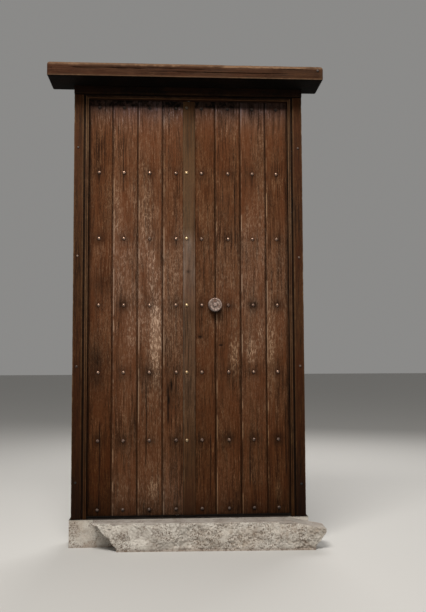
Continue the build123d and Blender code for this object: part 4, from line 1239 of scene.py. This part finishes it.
def stoneGrid(plan, top):
    # the section carried along X, two stations standing at each step, the end sections drawn in to a point
    stations = [(-plan["bedHalf"], plan["left"], False, True), (plan["left"], plan["bedHalf"], True, True),
                (plan["bedHalf"], plan["right"], True, False)]
    spans = [np.linspace(a, b, int(round((b - a) / plan["step"])) + 1) for a, b, _, _ in stations]
    lengths = [len(span) for span in spans]
    x = np.concatenate(spans)
    hasNose, hasBed = (np.repeat([station[k] for station in stations], lengths) for k in (2, 3))
    corners = stoneCorners(plan, x, hasNose, hasBed, top)
    runs = []
    for k, count in enumerate(plan["counts"]):
        t = (np.arange(count) / count)[None, :, None]
        runs.append(corners[:, k:k + 1] * (1 - t) + corners[:, k + 1:k + 2] * t)
    section = np.concatenate(runs, axis=1)
    shrink = np.array([0.0, 0.25, 0.5, 0.75])[:, None, None]
    middles = (section.min(axis=1, keepdims=True) + section.max(axis=1, keepdims=True)) / 2
    first, last = (middles[row] + (section[row][None] - middles[row]) * shrink for row in (0, -1))
    section = np.concatenate([first, section, last[::-1]], axis=0)
    x = np.pad(x, len(shrink), mode="edge")
    return np.dstack([np.broadcast_to(x[:, None], section.shape[:2]), section])


def cleanSurface(grid):
    # points, normals and faces of the grid after doubled points and faces without area are taken out
    rows, columns = grid.shape[:2]
    mesh = bpy.data.meshes.new("roughStone")
    mesh.from_pydata(grid.reshape(-1, 3).tolist(), [], gridFaces(rows, columns))
    build = bmesh.new()
    build.from_mesh(mesh)
    bmesh.ops.remove_doubles(build, verts=build.verts, dist=2e-5)
    bmesh.ops.dissolve_degenerate(build, edges=build.edges, dist=1e-6)
    bmesh.ops.recalc_face_normals(build, faces=build.faces)
    build.normal_update()
    places = np.array([v.co for v in build.verts])
    normals = np.array([v.normal for v in build.verts])
    faces = [[v.index for v in f.verts] for f in build.faces]
    build.free()
    bpy.data.meshes.remove(mesh)
    return places, normals, faces


def thresholdStone(plan):
    # every point sinks along its normal by broken rock on the nose, pits, a rounded arris and a trodden top
    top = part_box("threshold_stone")[1].z
    place, normal, faces = cleanSurface(stoneGrid(plan, top))
    px, py, pz = place.T
    front, noseTop = noseLine(plan, px, top)
    inNose = smoothStep(plan["noseBack"] + 0.004, plan["noseBack"] - 0.010, py)
    upward = smoothStep(0.5, 0.9, normal[:, 2])
    facing = (1 - upward) * inNose
    broken = smoothStep(0.30, 0.75, layeredNoise(px * 9, py * 9, pz * 16, 801, 5, 0.55))
    lumps = layeredNoise(px * 34, py * 34, pz * 34, 803, 3, 0.6)
    pits = smoothStep(0.52, 0.68, layeredNoise(px * 105, py * 105, pz * 120, 805, 3, 0.7))
    crumbs = layeredNoise(px * 150, py * 150, pz * 150, 807, 2)
    chips = smoothStep(0.35, 0.75, layeredNoise(px * 22, 0.5, 0.5, 809, 4, 0.6))
    trodden = layeredNoise(px * 12, py * 12, 0.5, 811, 4)
    edgeAway = np.hypot(py - front, pz - noseTop)
    depth = facing * (plan["faceRough"] * broken + plan["lumpDepth"] * lumps + plan["pitDepth"] * pits
                      + plan["crumbDepth"] * crumbs)
    depth = depth + inNose * plan["arris"] * (0.5 + 1.2 * chips) * bell(edgeAway, 0.008 + 0.006 * chips)
    depth = depth + upward * (plan["seatRough"] + (plan["topRough"] - plan["seatRough"]) * inNose) * trodden
    depth = depth + (1 - upward) * (1 - inNose) * plan["bedRough"] * lumps
    depth = depth * smoothStep(0.0, 0.004, pz)
    slide = upward * inNose * bell(py - front, 0.016) * (0.003 + plan["faceRough"] * broken)
    tread = upward * (0.55 + 0.45 * lumps)
    # the pit mark also darkens the stone within 2 cm of the floor
    pit = np.clip(0.28 * pits * facing + 0.5 * smoothStep(0.02, 0.0, pz), 0, 1)
    # dirt and painted shade under the leaves, where the gap under the door is dark
    grimeAndShade = 0.96 * upward * smoothStep(-0.007, -0.001, py) * (1 - 0.35 * smoothStep(0.085, 0.120, py))
    place = place - normal * depth[:, None]
    place[:, 1] += slide  # the top's edge draws back with the broken face, so that it never overhangs
    place[:, 2] = np.maximum(place[:, 2], 0.0)
    slab = makePiece("threshold_slab", place, faces, {"tread": tread, "pit": pit, "sootAndShade": grimeAndShade}, slabStone,
                     "frame", ["threshold_stone"], sharpAngle=60.0)
    boreSocket(slab, plan, top)


thresholdStone(stonePlan)
print("threshold hewn")

# Finishes for the ironwork that keeps its solid

ironSlots = {
    "forgedIron": ["pintles_left", "pintles_right", "top_bolt_keep", "cross_bolt_keeper", "top_bolt_loops",
                   "bottom_bolt_loops", "cross_bolt_loops", "knob_washer", "knob_nut",
                   *(f"{s}_strap_{k}" for s in sides for k in (1, 2, 3))],
    "boltSteel": ["top_bolt", "bottom_bolt", "cross_bolt"],
}
for metalName, members in ironSlots.items():
    for node in members:
        nodes[node].data.materials.clear()
        nodes[node].data.materials.append(metals[metalName])
print("ironwork finished")
